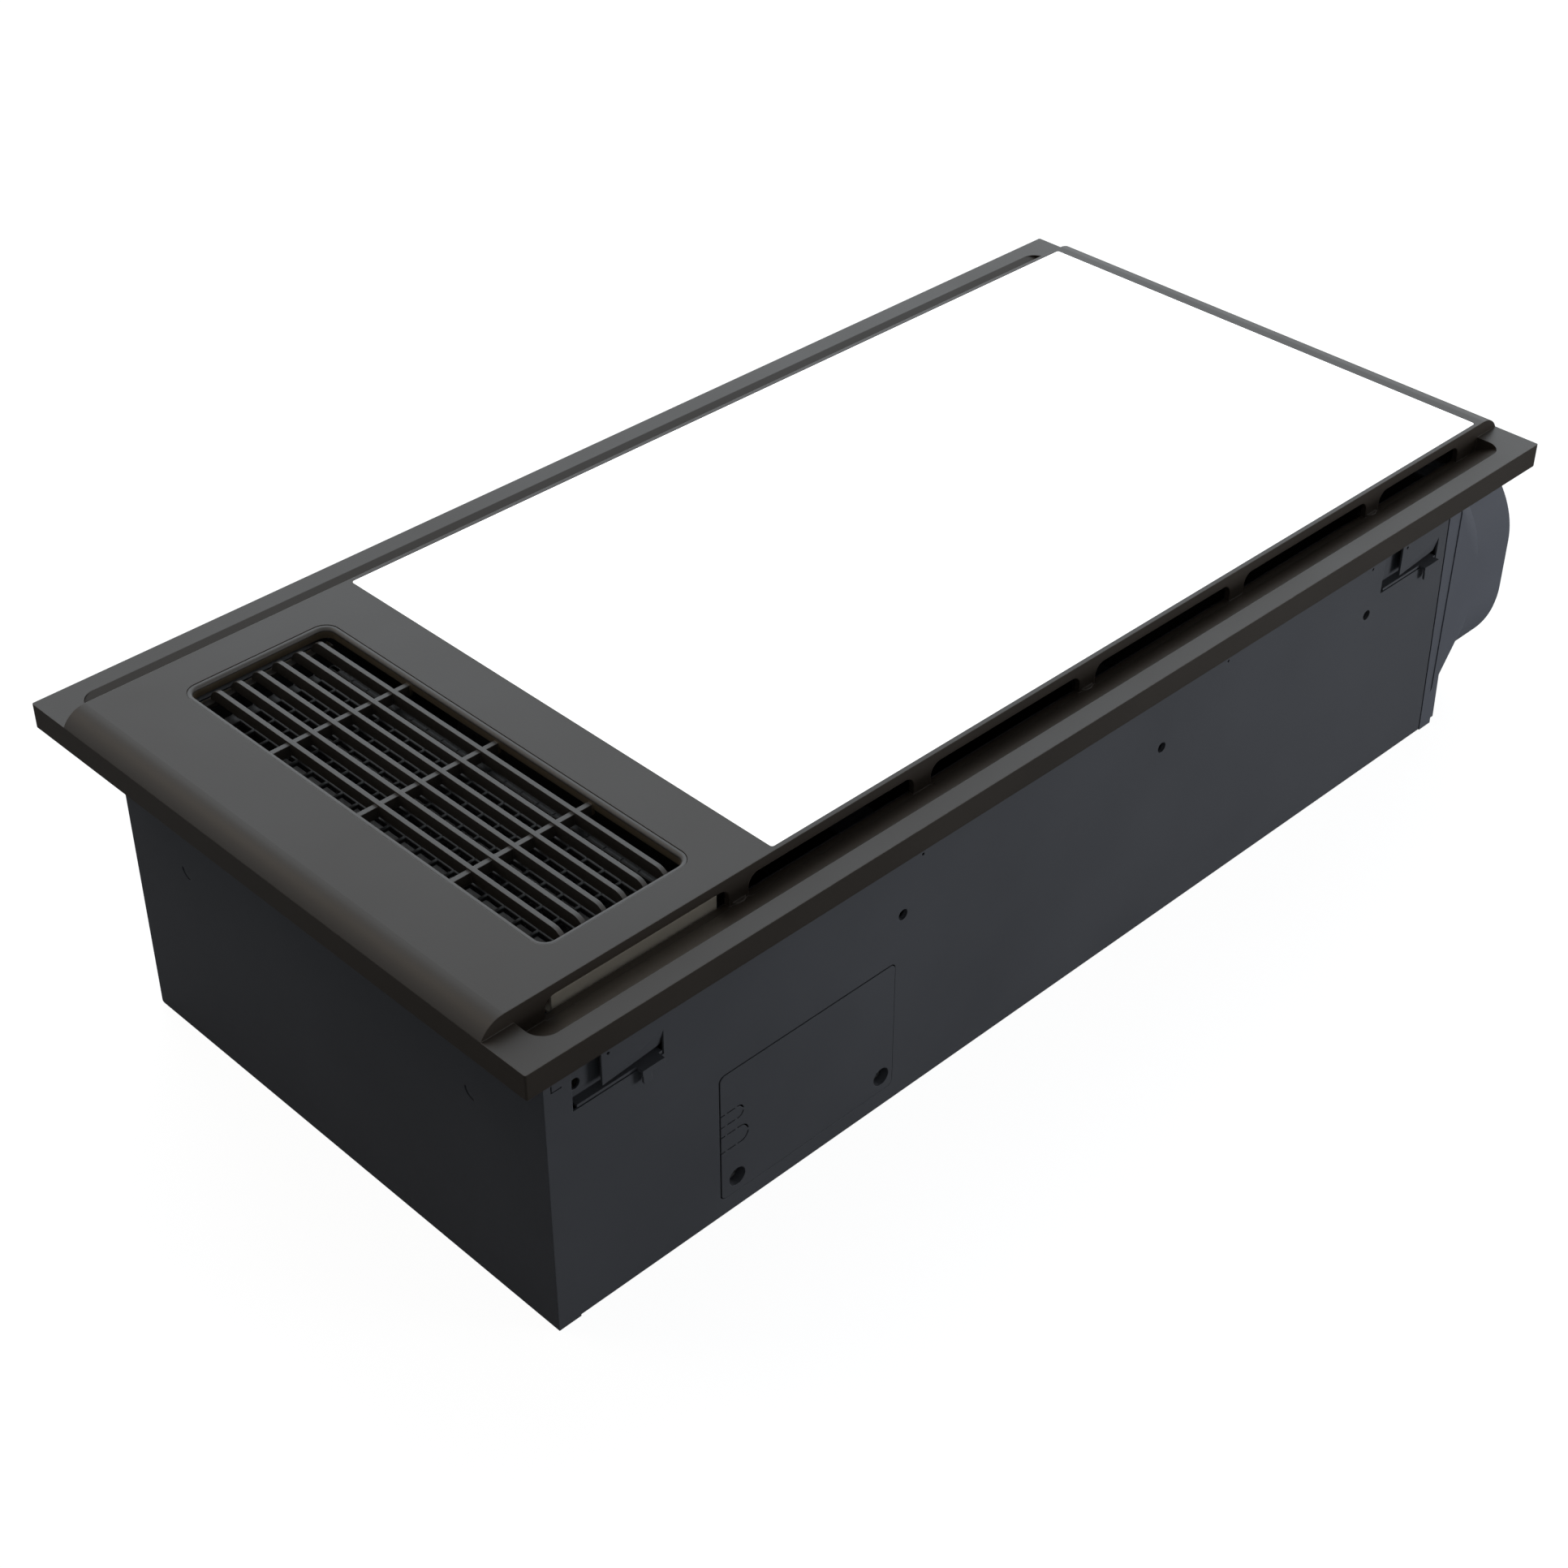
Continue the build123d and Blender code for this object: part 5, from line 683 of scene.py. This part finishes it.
def solid_boxes(node: str) -> list[tuple[Vector, Vector]]:
    """Find the lowest and highest corners of each separate solid in a CAD node.

    Args:
        node: The node's name.

    Returns:
        The corners in metres, in the order of their places.
    """
    form = bmesh.new()
    form.from_mesh(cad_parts[node].data)
    bmesh.ops.remove_doubles(form, verts=form.verts, dist=MERGE_GAP)
    waiting = set(form.verts)
    boxes = []
    while waiting:
        pile = [waiting.pop()]
        found = []
        while pile:
            vert = pile.pop()
            found.append(vert.co.copy())
            for edge in vert.link_edges:
                other = edge.other_vert(vert)
                if other in waiting:
                    waiting.discard(other)
                    pile.append(other)
        low = Vector([min(point[axis] for point in found) for axis in range(3)])
        high = Vector([max(point[axis] for point in found) for axis in range(3)])
        boxes.append((low, high))
    form.free()
    return sorted(boxes, key=lambda box: tuple(round(part, SORT_DIGITS) for part in box[0]))


@dataclass
class ScrewRow:
    """Pan-head screws with a cross recess, which stand for a CAD node's plain ones, in mm."""

    node: str
    facing: Facing
    finish: Finish
    slot: str
    head_height: float = 2.0
    shank_share: float = 0.5
    dome: float = 0.5
    recess_share: float = 0.62
    recess_width: float = 0.75
    recess_depth: float = 1.0
    seed: int = 7

    def head(self, recipe: Recipe) -> Socket:
        """Turn one domed head, cut its recess and seat it on the ground.

        Args:
            recipe: The row's recipe.

        Returns:
            The head's mesh.
        """
        wires = recipe.wires
        radius, height, dome, span, width, depth = recipe.take(
            "Head Radius", "Head Height", "Dome", "Recess Span", "Recess Width", "Recess Depth"
        )
        blank = wires.make(
            "GeometryNodeMeshCylinder",
            {"Vertices": 20, "Side Segments": 1, "Fill Segments": 3, "Radius": radius,
             "Depth": height},
        )
        spot = wires.make("GeometryNodeInputPosition")
        parts = wires.add("ShaderNodeSeparateXYZ", {"Vector": spot}).outputs
        share = wires.work("DIVIDE", wires.length(wires.spot(parts["X"], parts["Y"])), radius)
        fall = wires.work("MULTIPLY", wires.work("POWER", share, 2.0), dome)
        domed = wires.make(
            "GeometryNodeSetPosition",
            {"Geometry": blank, "Selection": wires.work("GREATER_THAN", parts["Z"], 0.0),
             "Offset": wires.spot(z=wires.work("MULTIPLY", fall, -1.0))},
        )
        cut = wires.add(
            "GeometryNodeMeshBoolean", {"Mesh 1": domed}, operation="DIFFERENCE", solver="EXACT"
        )
        deep = wires.work("MULTIPLY", depth, 2.0)
        top = wires.spot(z=wires.work("MULTIPLY", height, 0.5))
        for across in ((span, width), (width, span)):
            arm = wires.make("GeometryNodeMeshCube", {"Size": wires.spot(*across, deep)})
            wires.join(recipe.move(arm, top), cut.inputs["Mesh 2"])
        return recipe.move(cut.outputs["Mesh"], top)

    def recipe(self, head_radius: float) -> Recipe:
        """Build the tree of one row.

        Args:
            head_radius: Radius of the heads, in metres.

        Returns:
            The recipe.
        """
        recipe = Recipe(
            f"cross_{self.node}",
            {"Head Radius": head_radius, "Head Height": self.head_height * MM,
             "Shank Radius": head_radius * self.shank_share, "Dome": self.dome * MM,
             "Recess Span": 2 * head_radius * self.recess_share,
             "Recess Width": self.recess_width * MM,
             "Recess Depth": self.recess_depth * MM, "Seed": self.seed},
            self.finish,
        )
        wires = recipe.wires
        points, radius, seed = recipe.take("Geometry", "Shank Radius", "Seed")
        # A shank is one unit long and hangs down, so a point's reach is its scale
        shank = wires.make(
            "GeometryNodeMeshCylinder", {"Vertices": 12, "Radius": radius, "Depth": 1.0}
        )
        hung = recipe.move(shank, (0.0, 0.0, -0.5))
        turn = wires.add(
            "FunctionNodeRandomValue", {2: 0.0, 3: math.pi / 2, "Seed": seed}, data_type="FLOAT"
        )
        spin = wires.make("FunctionNodeEulerToRotation", {"Euler": wires.spot(z=turn.outputs[1])})
        aim = wires.make(
            "FunctionNodeAlignRotationToVector",
            {"Rotation": spin, "Vector": self.facing.value},
            axis="Z",
        )
        reach = wires.make("GeometryNodeInputNamedAttribute", {"Name": "reach"}, data_type="FLOAT")
        heads = wires.make(
            "GeometryNodeInstanceOnPoints",
            {"Points": points, "Instance": self.head(recipe), "Rotation": aim},
        )
        shanks = wires.make(
            "GeometryNodeInstanceOnPoints",
            {"Points": points, "Instance": hung, "Rotation": aim,
             "Scale": wires.spot(1.0, 1.0, reach)},
        )
        recipe.close(recipe.gather(heads, shanks))
        return recipe

    def build(self) -> None:
        """Put a screw where each solid of the CAD node is."""
        way = Vector(self.facing.value)
        seats = []
        reaches = []
        radius = 0.0
        for low, high in solid_boxes(self.node):
            middle = (low + high) / 2
            span = abs((high - low).dot(way))
            across = [part for part, along in zip(high - low, way) if along == 0.0]
            radius = max(across) / 2
            seats.append(middle + way * (span / 2 - self.head_height * MM))
            reaches.append(span - self.head_height * MM)
        place_piece(self.recipe(radius).run(seats, reaches), CASING, self.slot, self.node)


class Assembly:
    """A sub-assembly of the heater: its CAD nodes' finishes and the pieces that it adds."""

    finishes: dict[str, Finish] = {}

    def dress(self) -> None:
        """Give each CAD node its finish."""
        for name, finish in self.finishes.items():
            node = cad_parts[name]
            node.data.materials.clear()
            node.data.materials.append(finish.material())
            LOG.info("%s wears %s", name, finish.name)

    def build(self) -> None:
        """Add the fine pieces; a plain sub-assembly has none."""


@dataclass
class FacePanel(Assembly):
    """The moulded face panel, its end webs and its screws, in millimetres.

    A web closes the crown's underside where the panel stands out past the housing.
    """

    outlet_web: Pair = (-297.3, -277.2)
    duct_web: Pair = (272.3, 297.3)
    web_half: float = 124.3
    web_low: float = 145.1
    web_sheet: float = 1.0
    sheet_easing: float = 0.2
    rib_height: float = 4.0
    rib_width: float = 1.2
    rib_pitch: float = 18.0
    rib_easing: float = 0.3

    finishes = {"face_panel": PANEL, "panel_screws": ZINC}

    def web(self, name: str, reach: Pair) -> None:
        """Mould one ribbed web under an end of the crown.

        Args:
            name: The piece's name.
            reach: Where it starts and ends along X.
        """
        recipe = Recipe(
            name,
            {"Low X": reach[0] * MM, "High X": reach[1] * MM, "Half Y": self.web_half * MM,
             "Low Z": self.web_low * MM, "Sheet": self.web_sheet * MM,
             "Sheet Easing": self.sheet_easing * MM,
             "Ribs": int(2 * self.web_half / self.rib_pitch),
             "Rib Height": self.rib_height * MM, "Rib Width": self.rib_width * MM,
             "Rib Pitch": self.rib_pitch * MM, "Rib Easing": self.rib_easing * MM},
            PANEL,
        )
        wires = recipe.wires
        low_x, high_x, half_y, low_z, sheet, easing = recipe.take(
            "Low X", "High X", "Half Y", "Low Z", "Sheet", "Sheet Easing"
        )
        ribs, rib_height, rib_width, pitch, rib_easing = recipe.take(
            "Ribs", "Rib Height", "Rib Width", "Rib Pitch", "Rib Easing"
        )
        width = wires.work("SUBTRACT", high_x, low_x)
        middle = wires.work("MULTIPLY_ADD", width, 0.5, low_x)
        level = wires.work("MULTIPLY_ADD", sheet, 0.5, low_z)
        plate = recipe.bar(
            wires.spot(middle, wires.work("MULTIPLY", half_y, -1.0), level),
            wires.spot(middle, half_y, level), width, sheet, easing,
        )
        rib = recipe.bar(wires.spot(low_x), wires.spot(high_x), rib_width, rib_height, rib_easing)
        span = wires.work("MULTIPLY", wires.work("SUBTRACT", ribs, 1.0), pitch)
        first = wires.spot(
            y=wires.work("MULTIPLY", span, -0.5),
            z=wires.work("MULTIPLY_ADD", rib_height, 0.5, level),
        )
        recipe.close(recipe.gather(plate, recipe.row(rib, ribs, first, wires.spot(y=pitch))))
        place_piece(recipe.run(), CASING, "panel_plastic")

    def build(self) -> None:
        """Mould the webs and replace the panel's plain screws."""
        self.web("outlet_end_web", self.outlet_web)
        self.web("duct_end_web", self.duct_web)
        ScrewRow("panel_screws", Facing.DOWN, ZINC, "zinc_steel").build()


class FlatLight(Assembly):
    """The flat light: diffuser, guide plate, reflector, lamp strips and tray."""

    finishes = {
        "light_diffuser": DIFFUSER,
        "light_guide_plate": GUIDE,
        "light_reflector_sheet": WHITE_SHEET,
        "light_strips": LAMP_BOARD,
        "light_back_tray": INNER_PAINTED_SHADE,
        "light_tray_screws": ZINC,
    }


@dataclass
class OutletGrille(Assembly):
    """The outlet grille and the moulded guard net under it, in millimetres.

    The net's inner ribs stand off the CAD net's by rib_shift, to show between the bars.
    """

    long_pitch: float = 9.8
    row_pitch: float = 9.5
    long_width: float = 2.75
    short_width: float = 1.6
    near_rim: float = 2.0
    far_rim: float = 5.0
    corner_cut: float = 9.0
    rounding: float = 0.55
    rib_shift: float = 1.7

    finishes = {"outlet_grille": GRILLE, "guard_mesh": GUARD}

    def recipe(self) -> Recipe:
        """Open the net's tree with its sizes, on the spacing of the CAD node's cells."""
        low, high = (Vector(corner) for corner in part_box("guard_mesh"))
        rows = round(((high - low).y / MM - self.near_rim - self.far_rim) / self.row_pitch)
        ribs = int(((high - low).x / MM - self.long_width / 2) / self.long_pitch) + 1
        return Recipe(
            "guard_net",
            {"Ribs": ribs, "Rows": rows + 1, "Rib Pitch": self.long_pitch * MM,
             "Row Pitch": self.row_pitch * MM, "Rib Width": self.long_width * MM,
             "Row Width": self.short_width * MM, "Near Rim": self.near_rim * MM,
             "Far Rim": self.far_rim * MM, "Corner Cut": self.corner_cut * MM,
             "Thickness": (high - low).z, "Rounding": self.rounding * MM,
             "Rib Shift": self.rib_shift * MM,
             "Low X": low.x, "High X": high.x, "Low Y": low.y, "High Y": high.y,
             "Level": (low.z + high.z) / 2},
            GUARD,
        )

    def build(self) -> None:
        """Make the net from rounded ribs, with rails along its edges."""
        recipe = self.recipe()
        wires = recipe.wires
        ribs, rows, rib_pitch, row_pitch, rib_width, row_width = recipe.take(
            "Ribs", "Rows", "Rib Pitch", "Row Pitch", "Rib Width", "Row Width"
        )
        near_rim, far_rim, cut, shift, level = recipe.take(
            "Near Rim", "Far Rim", "Corner Cut", "Rib Shift", "Level"
        )
        low_x, high_x, low_y, high_y = recipe.take("Low X", "High X", "Low Y", "High Y")
        form = recipe.take("Thickness", "Rounding")
        half_rib = wires.work("MULTIPLY", rib_width, 0.5)
        last_x = wires.work("SUBTRACT", high_x, half_rib)
        back = wires.work("MULTIPLY", rib_pitch, -1.0)
        cut_x = wires.work("ADD", low_x, cut)
        cut_y = wires.work("SUBTRACT", high_y, cut)
        shifted = wires.work("ADD", last_x, shift)
        long_rib = recipe.bar(wires.spot(y=low_y), wires.spot(y=high_y), rib_width, *form)
        ribs_in_row = recipe.row(
            long_rib, wires.work("SUBTRACT", ribs, 2.0),
            wires.spot(wires.work("ADD", shifted, back), z=level), wires.spot(back),
        )
        short_rib = recipe.bar(wires.spot(low_x), wires.spot(high_x), row_width, *form)
        rows_in_row = recipe.row(
            short_rib, wires.work("SUBTRACT", rows, 1.0),
            wires.spot(y=wires.work("ADD", low_y, near_rim), z=level), wires.spot(y=row_pitch),
        )
        first_x = wires.work("MULTIPLY_ADD", back, wires.work("SUBTRACT", ribs, 1.0), shifted)
        side_width = wires.work("SUBTRACT", wires.work("ADD", first_x, half_rib), low_x)
        side_x = wires.work("MULTIPLY_ADD", side_width, 0.5, low_x)
        near_y = wires.work("MULTIPLY_ADD", near_rim, 0.5, low_y)
        far_width = wires.work("MULTIPLY_ADD", row_width, 0.5, far_rim)
        far_y = wires.work("MULTIPLY_ADD", far_width, -0.5, high_y)
        rails = []
        for start_x, start_y, stop_x, stop_y, width in (
            (side_x, low_y, side_x, cut_y, side_width),
            (last_x, low_y, last_x, high_y, rib_width),
            (low_x, near_y, high_x, near_y, near_rim),
            (cut_x, far_y, high_x, far_y, far_width),
            (low_x, cut_y, cut_x, high_y, rib_width),
        ):
            ends = wires.spot(start_x, start_y, level), wires.spot(stop_x, stop_y, level)
            rails.append(recipe.bar(*ends, width, *form))
        recipe.close(recipe.gather(ribs_in_row, rows_in_row, *rails))
        place_piece(recipe.run(), CASING, "guard_plastic", "guard_mesh")


class Housing(Assembly):
    """The folded sheet housing with its brackets and screws."""

    finishes = {"housing": HOUSING, "wall_brackets": HOUSING, "floor_screws": ZINC,
                "side_screws": DARK_SCREW}

    def build(self) -> None:
        """Replace the plain floor screws."""
        ScrewRow("floor_screws", Facing.UP, ZINC, "zinc_steel").build()


class CeilingCatches(Assembly):
    """The four sprung catches, their lugs and pins."""

    finishes = {"catch_lugs": HOUSING, "catch_pins": ZINC} | {
        f"catch_{side}_{end}": HOUSING for side in ("near", "far") for end in ("outlet", "duct")
    }


class WiringHatch(Assembly):
    """The wiring cover, its screws and the box behind it."""

    finishes = {
        "wiring_cover": HOUSING,
        "wiring_cover_screws": DARK_SCREW,
        "wiring_box": INNER_PAINTED_SHADE,
        "terminal_block": NATURAL,
        "cord_clamp": NATURAL,
    }

    def build(self) -> None:
        """Replace the cover's plain screws."""
        ScrewRow("wiring_cover_screws", Facing.NEAR, DARK_SCREW, "dark_screw").build()


@dataclass
class DuctOutlet(Assembly):
    """The duct adaptor with its gasket, flap and spring, in millimetres."""

    spring_turns: float = 9.0
    wire_radius: float = 0.4

    finishes = {
        "duct_adaptor": ADAPTOR,
        "duct_gasket": RUBBER,
        "backdraft_flap": FLAP,
        "flap_pin": ZINC,
        "flap_spring": ZINC,
        "adaptor_screws": DARK_SCREW,
    }

    def build(self) -> None:
        """Wind the flap's spring and replace the adaptor's plain screws."""
        ScrewRow("adaptor_screws", Facing.DUCT, DARK_SCREW, "dark_screw").build()
        low, high = (Vector(corner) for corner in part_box("flap_spring"))
        middle = (low + high) / 2
        wire_radius = self.wire_radius * MM
        recipe = Recipe(
            "coiled_flap_spring",
            {"Turns": self.spring_turns, "Coil Radius": (high - low).x / 2 - wire_radius,
             "Wire Radius": wire_radius, "Length": (high - low).y - 2 * wire_radius,
             "Middle X": middle.x, "Near Y": low.y + wire_radius, "Middle Z": middle.z},
            ZINC,
        )
        wires = recipe.wires
        turns, coil, length, thin = recipe.take("Turns", "Coil Radius", "Length", "Wire Radius")
        helix = wires.make(
            "GeometryNodeCurveSpiral",
            {"Resolution": 28, "Rotations": turns, "Start Radius": coil, "End Radius": coil,
             "Height": length},
        )
        wire = wires.make("GeometryNodeCurvePrimitiveCircle", {"Resolution": 8, "Radius": thin})
        wound = recipe.sweep(helix, wire, upright=False)
        seat = wires.spot(*recipe.take("Middle X", "Near Y", "Middle Z"))
        recipe.close(recipe.move(wound, seat, turn=(-math.pi / 2, 0.0, 0.0)))
        place_piece(recipe.run(), CASING, "zinc_steel", "flap_spring")


@dataclass
class HeaterModule(Assembly):
    """The galvanised heater box and the element with its folded fins, in millimetres."""

    fold_pitch: float = 1.7
    fin_sheet: float = 0.25

    finishes = {
        "heater_box": GALVANISED,
        "heater_tubes": ALUMINIUM,
        "heater_fins": ALUMINIUM,
        "heater_end_caps": HEATER_CAP,
        "heater_terminals": ZINC,
        "thermal_cutout": CUTOUT_SHELL,
        "thermal_fuse": ZINC,
    }

    def build(self) -> None:
        """Fold a fin band between each pair of tubes."""
        bands = solid_boxes("heater_fins")
        low, high = bands[0]
        fin = self.fin_sheet * MM
        recipe = Recipe(
            "folded_fin_bands",
            {"Bands": len(bands), "Folds": int((high - low).y / MM / self.fold_pitch),
             "Band Pitch": bands[1][0].x - low.x, "Band Width": (high - low).x - fin,
             "Near Y": low.y + fin, "Far Y": high.y - fin, "First X": low.x + fin / 2,
             "Level": (low.z + high.z) / 2, "Height": (high - low).z, "Sheet": fin},
            ALUMINIUM,
        )
        wires = recipe.wires
        count, folds, pitch, width, near_y, far_y, first_x, level, height, sheet = recipe.take(
            "Bands", "Folds", "Band Pitch", "Band Width", "Near Y", "Far Y", "First X", "Level",
            "Height", "Sheet"
        )
        line = wires.make(
            "GeometryNodeCurvePrimitiveLine",
            {"Start": wires.spot(y=near_y), "End": wires.spot(y=far_y)},
        )
        cut = wires.make("GeometryNodeResampleCurve", {"Curve": line, "Count": folds})
        side = wires.work("MODULO", wires.make("GeometryNodeInputIndex"), 2.0)
        folded = wires.make(
            "GeometryNodeSetPosition",
            {"Geometry": cut, "Offset": wires.spot(wires.work("MULTIPLY", side, width))},
        )
        section = wires.make(
            "GeometryNodeCurvePrimitiveQuadrilateral", {"Width": sheet, "Height": height}
        )
        band = recipe.sweep(folded, section)
        recipe.close(recipe.row(band, count, wires.spot(first_x, z=level), wires.spot(pitch)))
        place_piece(recipe.run(), CASING, "aluminium", "heater_fins")


class WarmBlower(Assembly):
    """The warm air blower: scroll, side plate, wheel, shaft, motor and bracket."""

    finishes = {
        "warm_scroll": SCROLL,
        "warm_side_plate": SCROLL,
        "warm_wheel": WHEEL,
        "warm_shaft": ZINC,
        "warm_bush": BRONZE,
        "warm_motor": MOTOR,
        "warm_motor_bracket": ZINC,
    }


class ExtractBlower(Assembly):
    """The extract blower: scroll, cover, wheel, shaft, motor, gasket and mounts."""

    finishes = {
        "vent_scroll": SCROLL,
        "vent_cover": SCROLL,
        "vent_wheel": WHEEL,
        "vent_shaft": ZINC,
        "vent_motor": MOTOR,
        "vent_gasket": RUBBER,
        "vent_mounts": RUBBER,
    }


class Controls(Assembly):
    """The control board with its relays, the light driver and the capacitor."""

    finishes = {
        "control_board": BOARD,
        "board_relays": RELAY,
        "board_standoffs": NATURAL,
        "board_screws": ZINC,
        "light_driver": NATURAL,
        "motor_capacitor": MOTOR,
    }


@dataclass(frozen=True)
class Lamp:
    """A square soft lamp: its place and side in metres, its power in watts and its tint."""

    name: str
    place: Triple
    side: float
    power: float
    tint: Triple

    def hang(self, target: Triple) -> None:
        """Hang the lamp so that it looks at a point.

        Args:
            target: The point, in metres.
        """
        data = bpy.data.lights.new(self.name, "AREA")
        data.shape = "SQUARE"
        data.size = self.side
        data.energy = self.power
        data.color = self.tint
        thing = stand(self.name, data)
        thing.location = self.place
        aim = Vector(target) - Vector(self.place)
        thing.rotation_euler = aim.to_track_quat("-Z", "Y").to_euler()


@dataclass
class Studio:
    """The pale floor, the soft lamps, the white surroundings and the camera."""

    eye: Triple = (-0.6996, -0.6771, 0.7657)
    azimuth: float = -44.46
    elevation: float = 36.728
    roll: float = 0.041
    focal_pixels: float = 3329.3
    picture_pixels: float = 1932.0
    shift_pixels: Pair = (4.97, 2.19)
    sensor: float = 36.0
    nearest: float = 0.05
    farthest: float = 100.0
    floor_size: float = 14.0
    floor_drop: float = 0.0002
    floor_paint: float = 0.25
    floor_glow: float = 0.94
    world_light: float = 0.19
    world_tint: Colour = (0.87, 0.94, 1.0, 1.0)
    lamp_target: Triple = (0.0, 0.0, 0.1)
    lamps: tuple[Lamp, ...] = (
        Lamp("back_softbox", (1.8, 1.8, 2.0), 4.0, 61.0, (0.80, 0.91, 1.0)),
        Lamp("duct_side_lamp", (0.5, -1.05, 0.12), 0.4, 5.2, (0.94, 0.97, 1.0)),
        Lamp("outlet_end_lamp", (-1.05, 1.4, 1.8), 1.0, 4.8, (1.0, 0.82, 0.62)),
    )

    def camera(self) -> None:
        """Stand the camera where the photograph was taken from."""
        data = bpy.data.cameras.new("view")
        data.sensor_width = self.sensor
        data.lens = self.sensor * self.focal_pixels / self.picture_pixels
        data.shift_x, data.shift_y = (part / self.picture_pixels for part in self.shift_pixels)
        data.clip_start = self.nearest
        data.clip_end = self.farthest
        thing = stand("view", data)
        turn = math.radians(self.azimuth)
        rise = math.radians(self.elevation)
        back = Vector((math.sin(turn) * math.cos(rise), -math.cos(turn) * math.cos(rise),
                       math.sin(rise)))
        right = Vector((math.cos(turn), math.sin(turn), 0.0))
        up = back.cross(right)
        axes = Matrix((right, up, back)).transposed()
        thing.matrix_world = (
            Matrix.Translation(Vector(self.eye))
            @ axes.to_4x4()
            @ Matrix.Rotation(math.radians(self.roll), 4, "Z")
        )
        bpy.context.scene.camera = thing

    def world(self) -> None:
        """Even studio light that the camera and reflections see as white."""
        world = bpy.data.worlds.new("studio")
        bpy.context.scene.world = world
        wires = fresh_wires(world)
        path = wires.add("ShaderNodeLightPath").outputs
        seen = wires.work("MAXIMUM", path["Is Camera Ray"], path["Is Glossy Ray"])
        shown = wires.work("MAXIMUM", seen, path["Is Transmission Ray"])
        light = wires.make(
            "ShaderNodeBackground", {"Color": self.world_tint, "Strength": self.world_light}
        )
        white = wires.make("ShaderNodeBackground", {"Color": WHITE, "Strength": 1.0})
        blend = wires.make("ShaderNodeMixShader", {0: shown, 1: light, 2: white})
        wires.add("ShaderNodeOutputWorld", {"Surface": blend})

    def floor(self) -> None:
        """A pale floor under the heater, white to the camera save for the soft shadow."""
        half = self.floor_size / 2
        mesh = bpy.data.meshes.new("floor")
        low = -self.floor_drop
        corners = [(-half, -half, low), (half, -half, low), (half, half, low), (-half, half, low)]
        mesh.from_pydata(corners, [], [(0, 1, 2, 3)])
        thing = stand("floor", mesh)
        made = bpy.data.materials.new("pale_floor")
        wires = fresh_wires(made)
        tone = self.floor_paint
        paint = wires.make("ShaderNodeBsdfDiffuse", {"Color": (tone, tone, tone, 1.0)})
        glow = wires.make("ShaderNodeEmission", {"Color": WHITE, "Strength": self.floor_glow})
        path = wires.add("ShaderNodeLightPath").outputs
        lit = wires.make("ShaderNodeAddShader", {0: paint, 1: glow})
        pick = wires.make("ShaderNodeMixShader", {0: path["Is Camera Ray"], 1: paint, 2: lit})
        wires.add("ShaderNodeOutputMaterial", {"Surface": pick})
        mesh.materials.append(made)

    def build(self) -> None:
        """Set the whole studio up."""
        bpy.context.scene.view_settings.view_transform = "Standard"
        self.camera()
        self.world()
        self.floor()
        for lamp in self.lamps:
            lamp.hang(self.lamp_target)


def main() -> None:
    """Dress every node, add the fine pieces and set the studio."""
    logging.basicConfig(level=logging.INFO, format="%(name)s %(message)s")
    for assembly in (FacePanel(), FlatLight(), OutletGrille(), Housing(), CeilingCatches(),
                     WiringHatch(), DuctOutlet(), HeaterModule(), WarmBlower(),
                     ExtractBlower(), Controls()):
        assembly.dress()
        assembly.build()
    Studio().build()


if __name__ == "__main__":
    main()
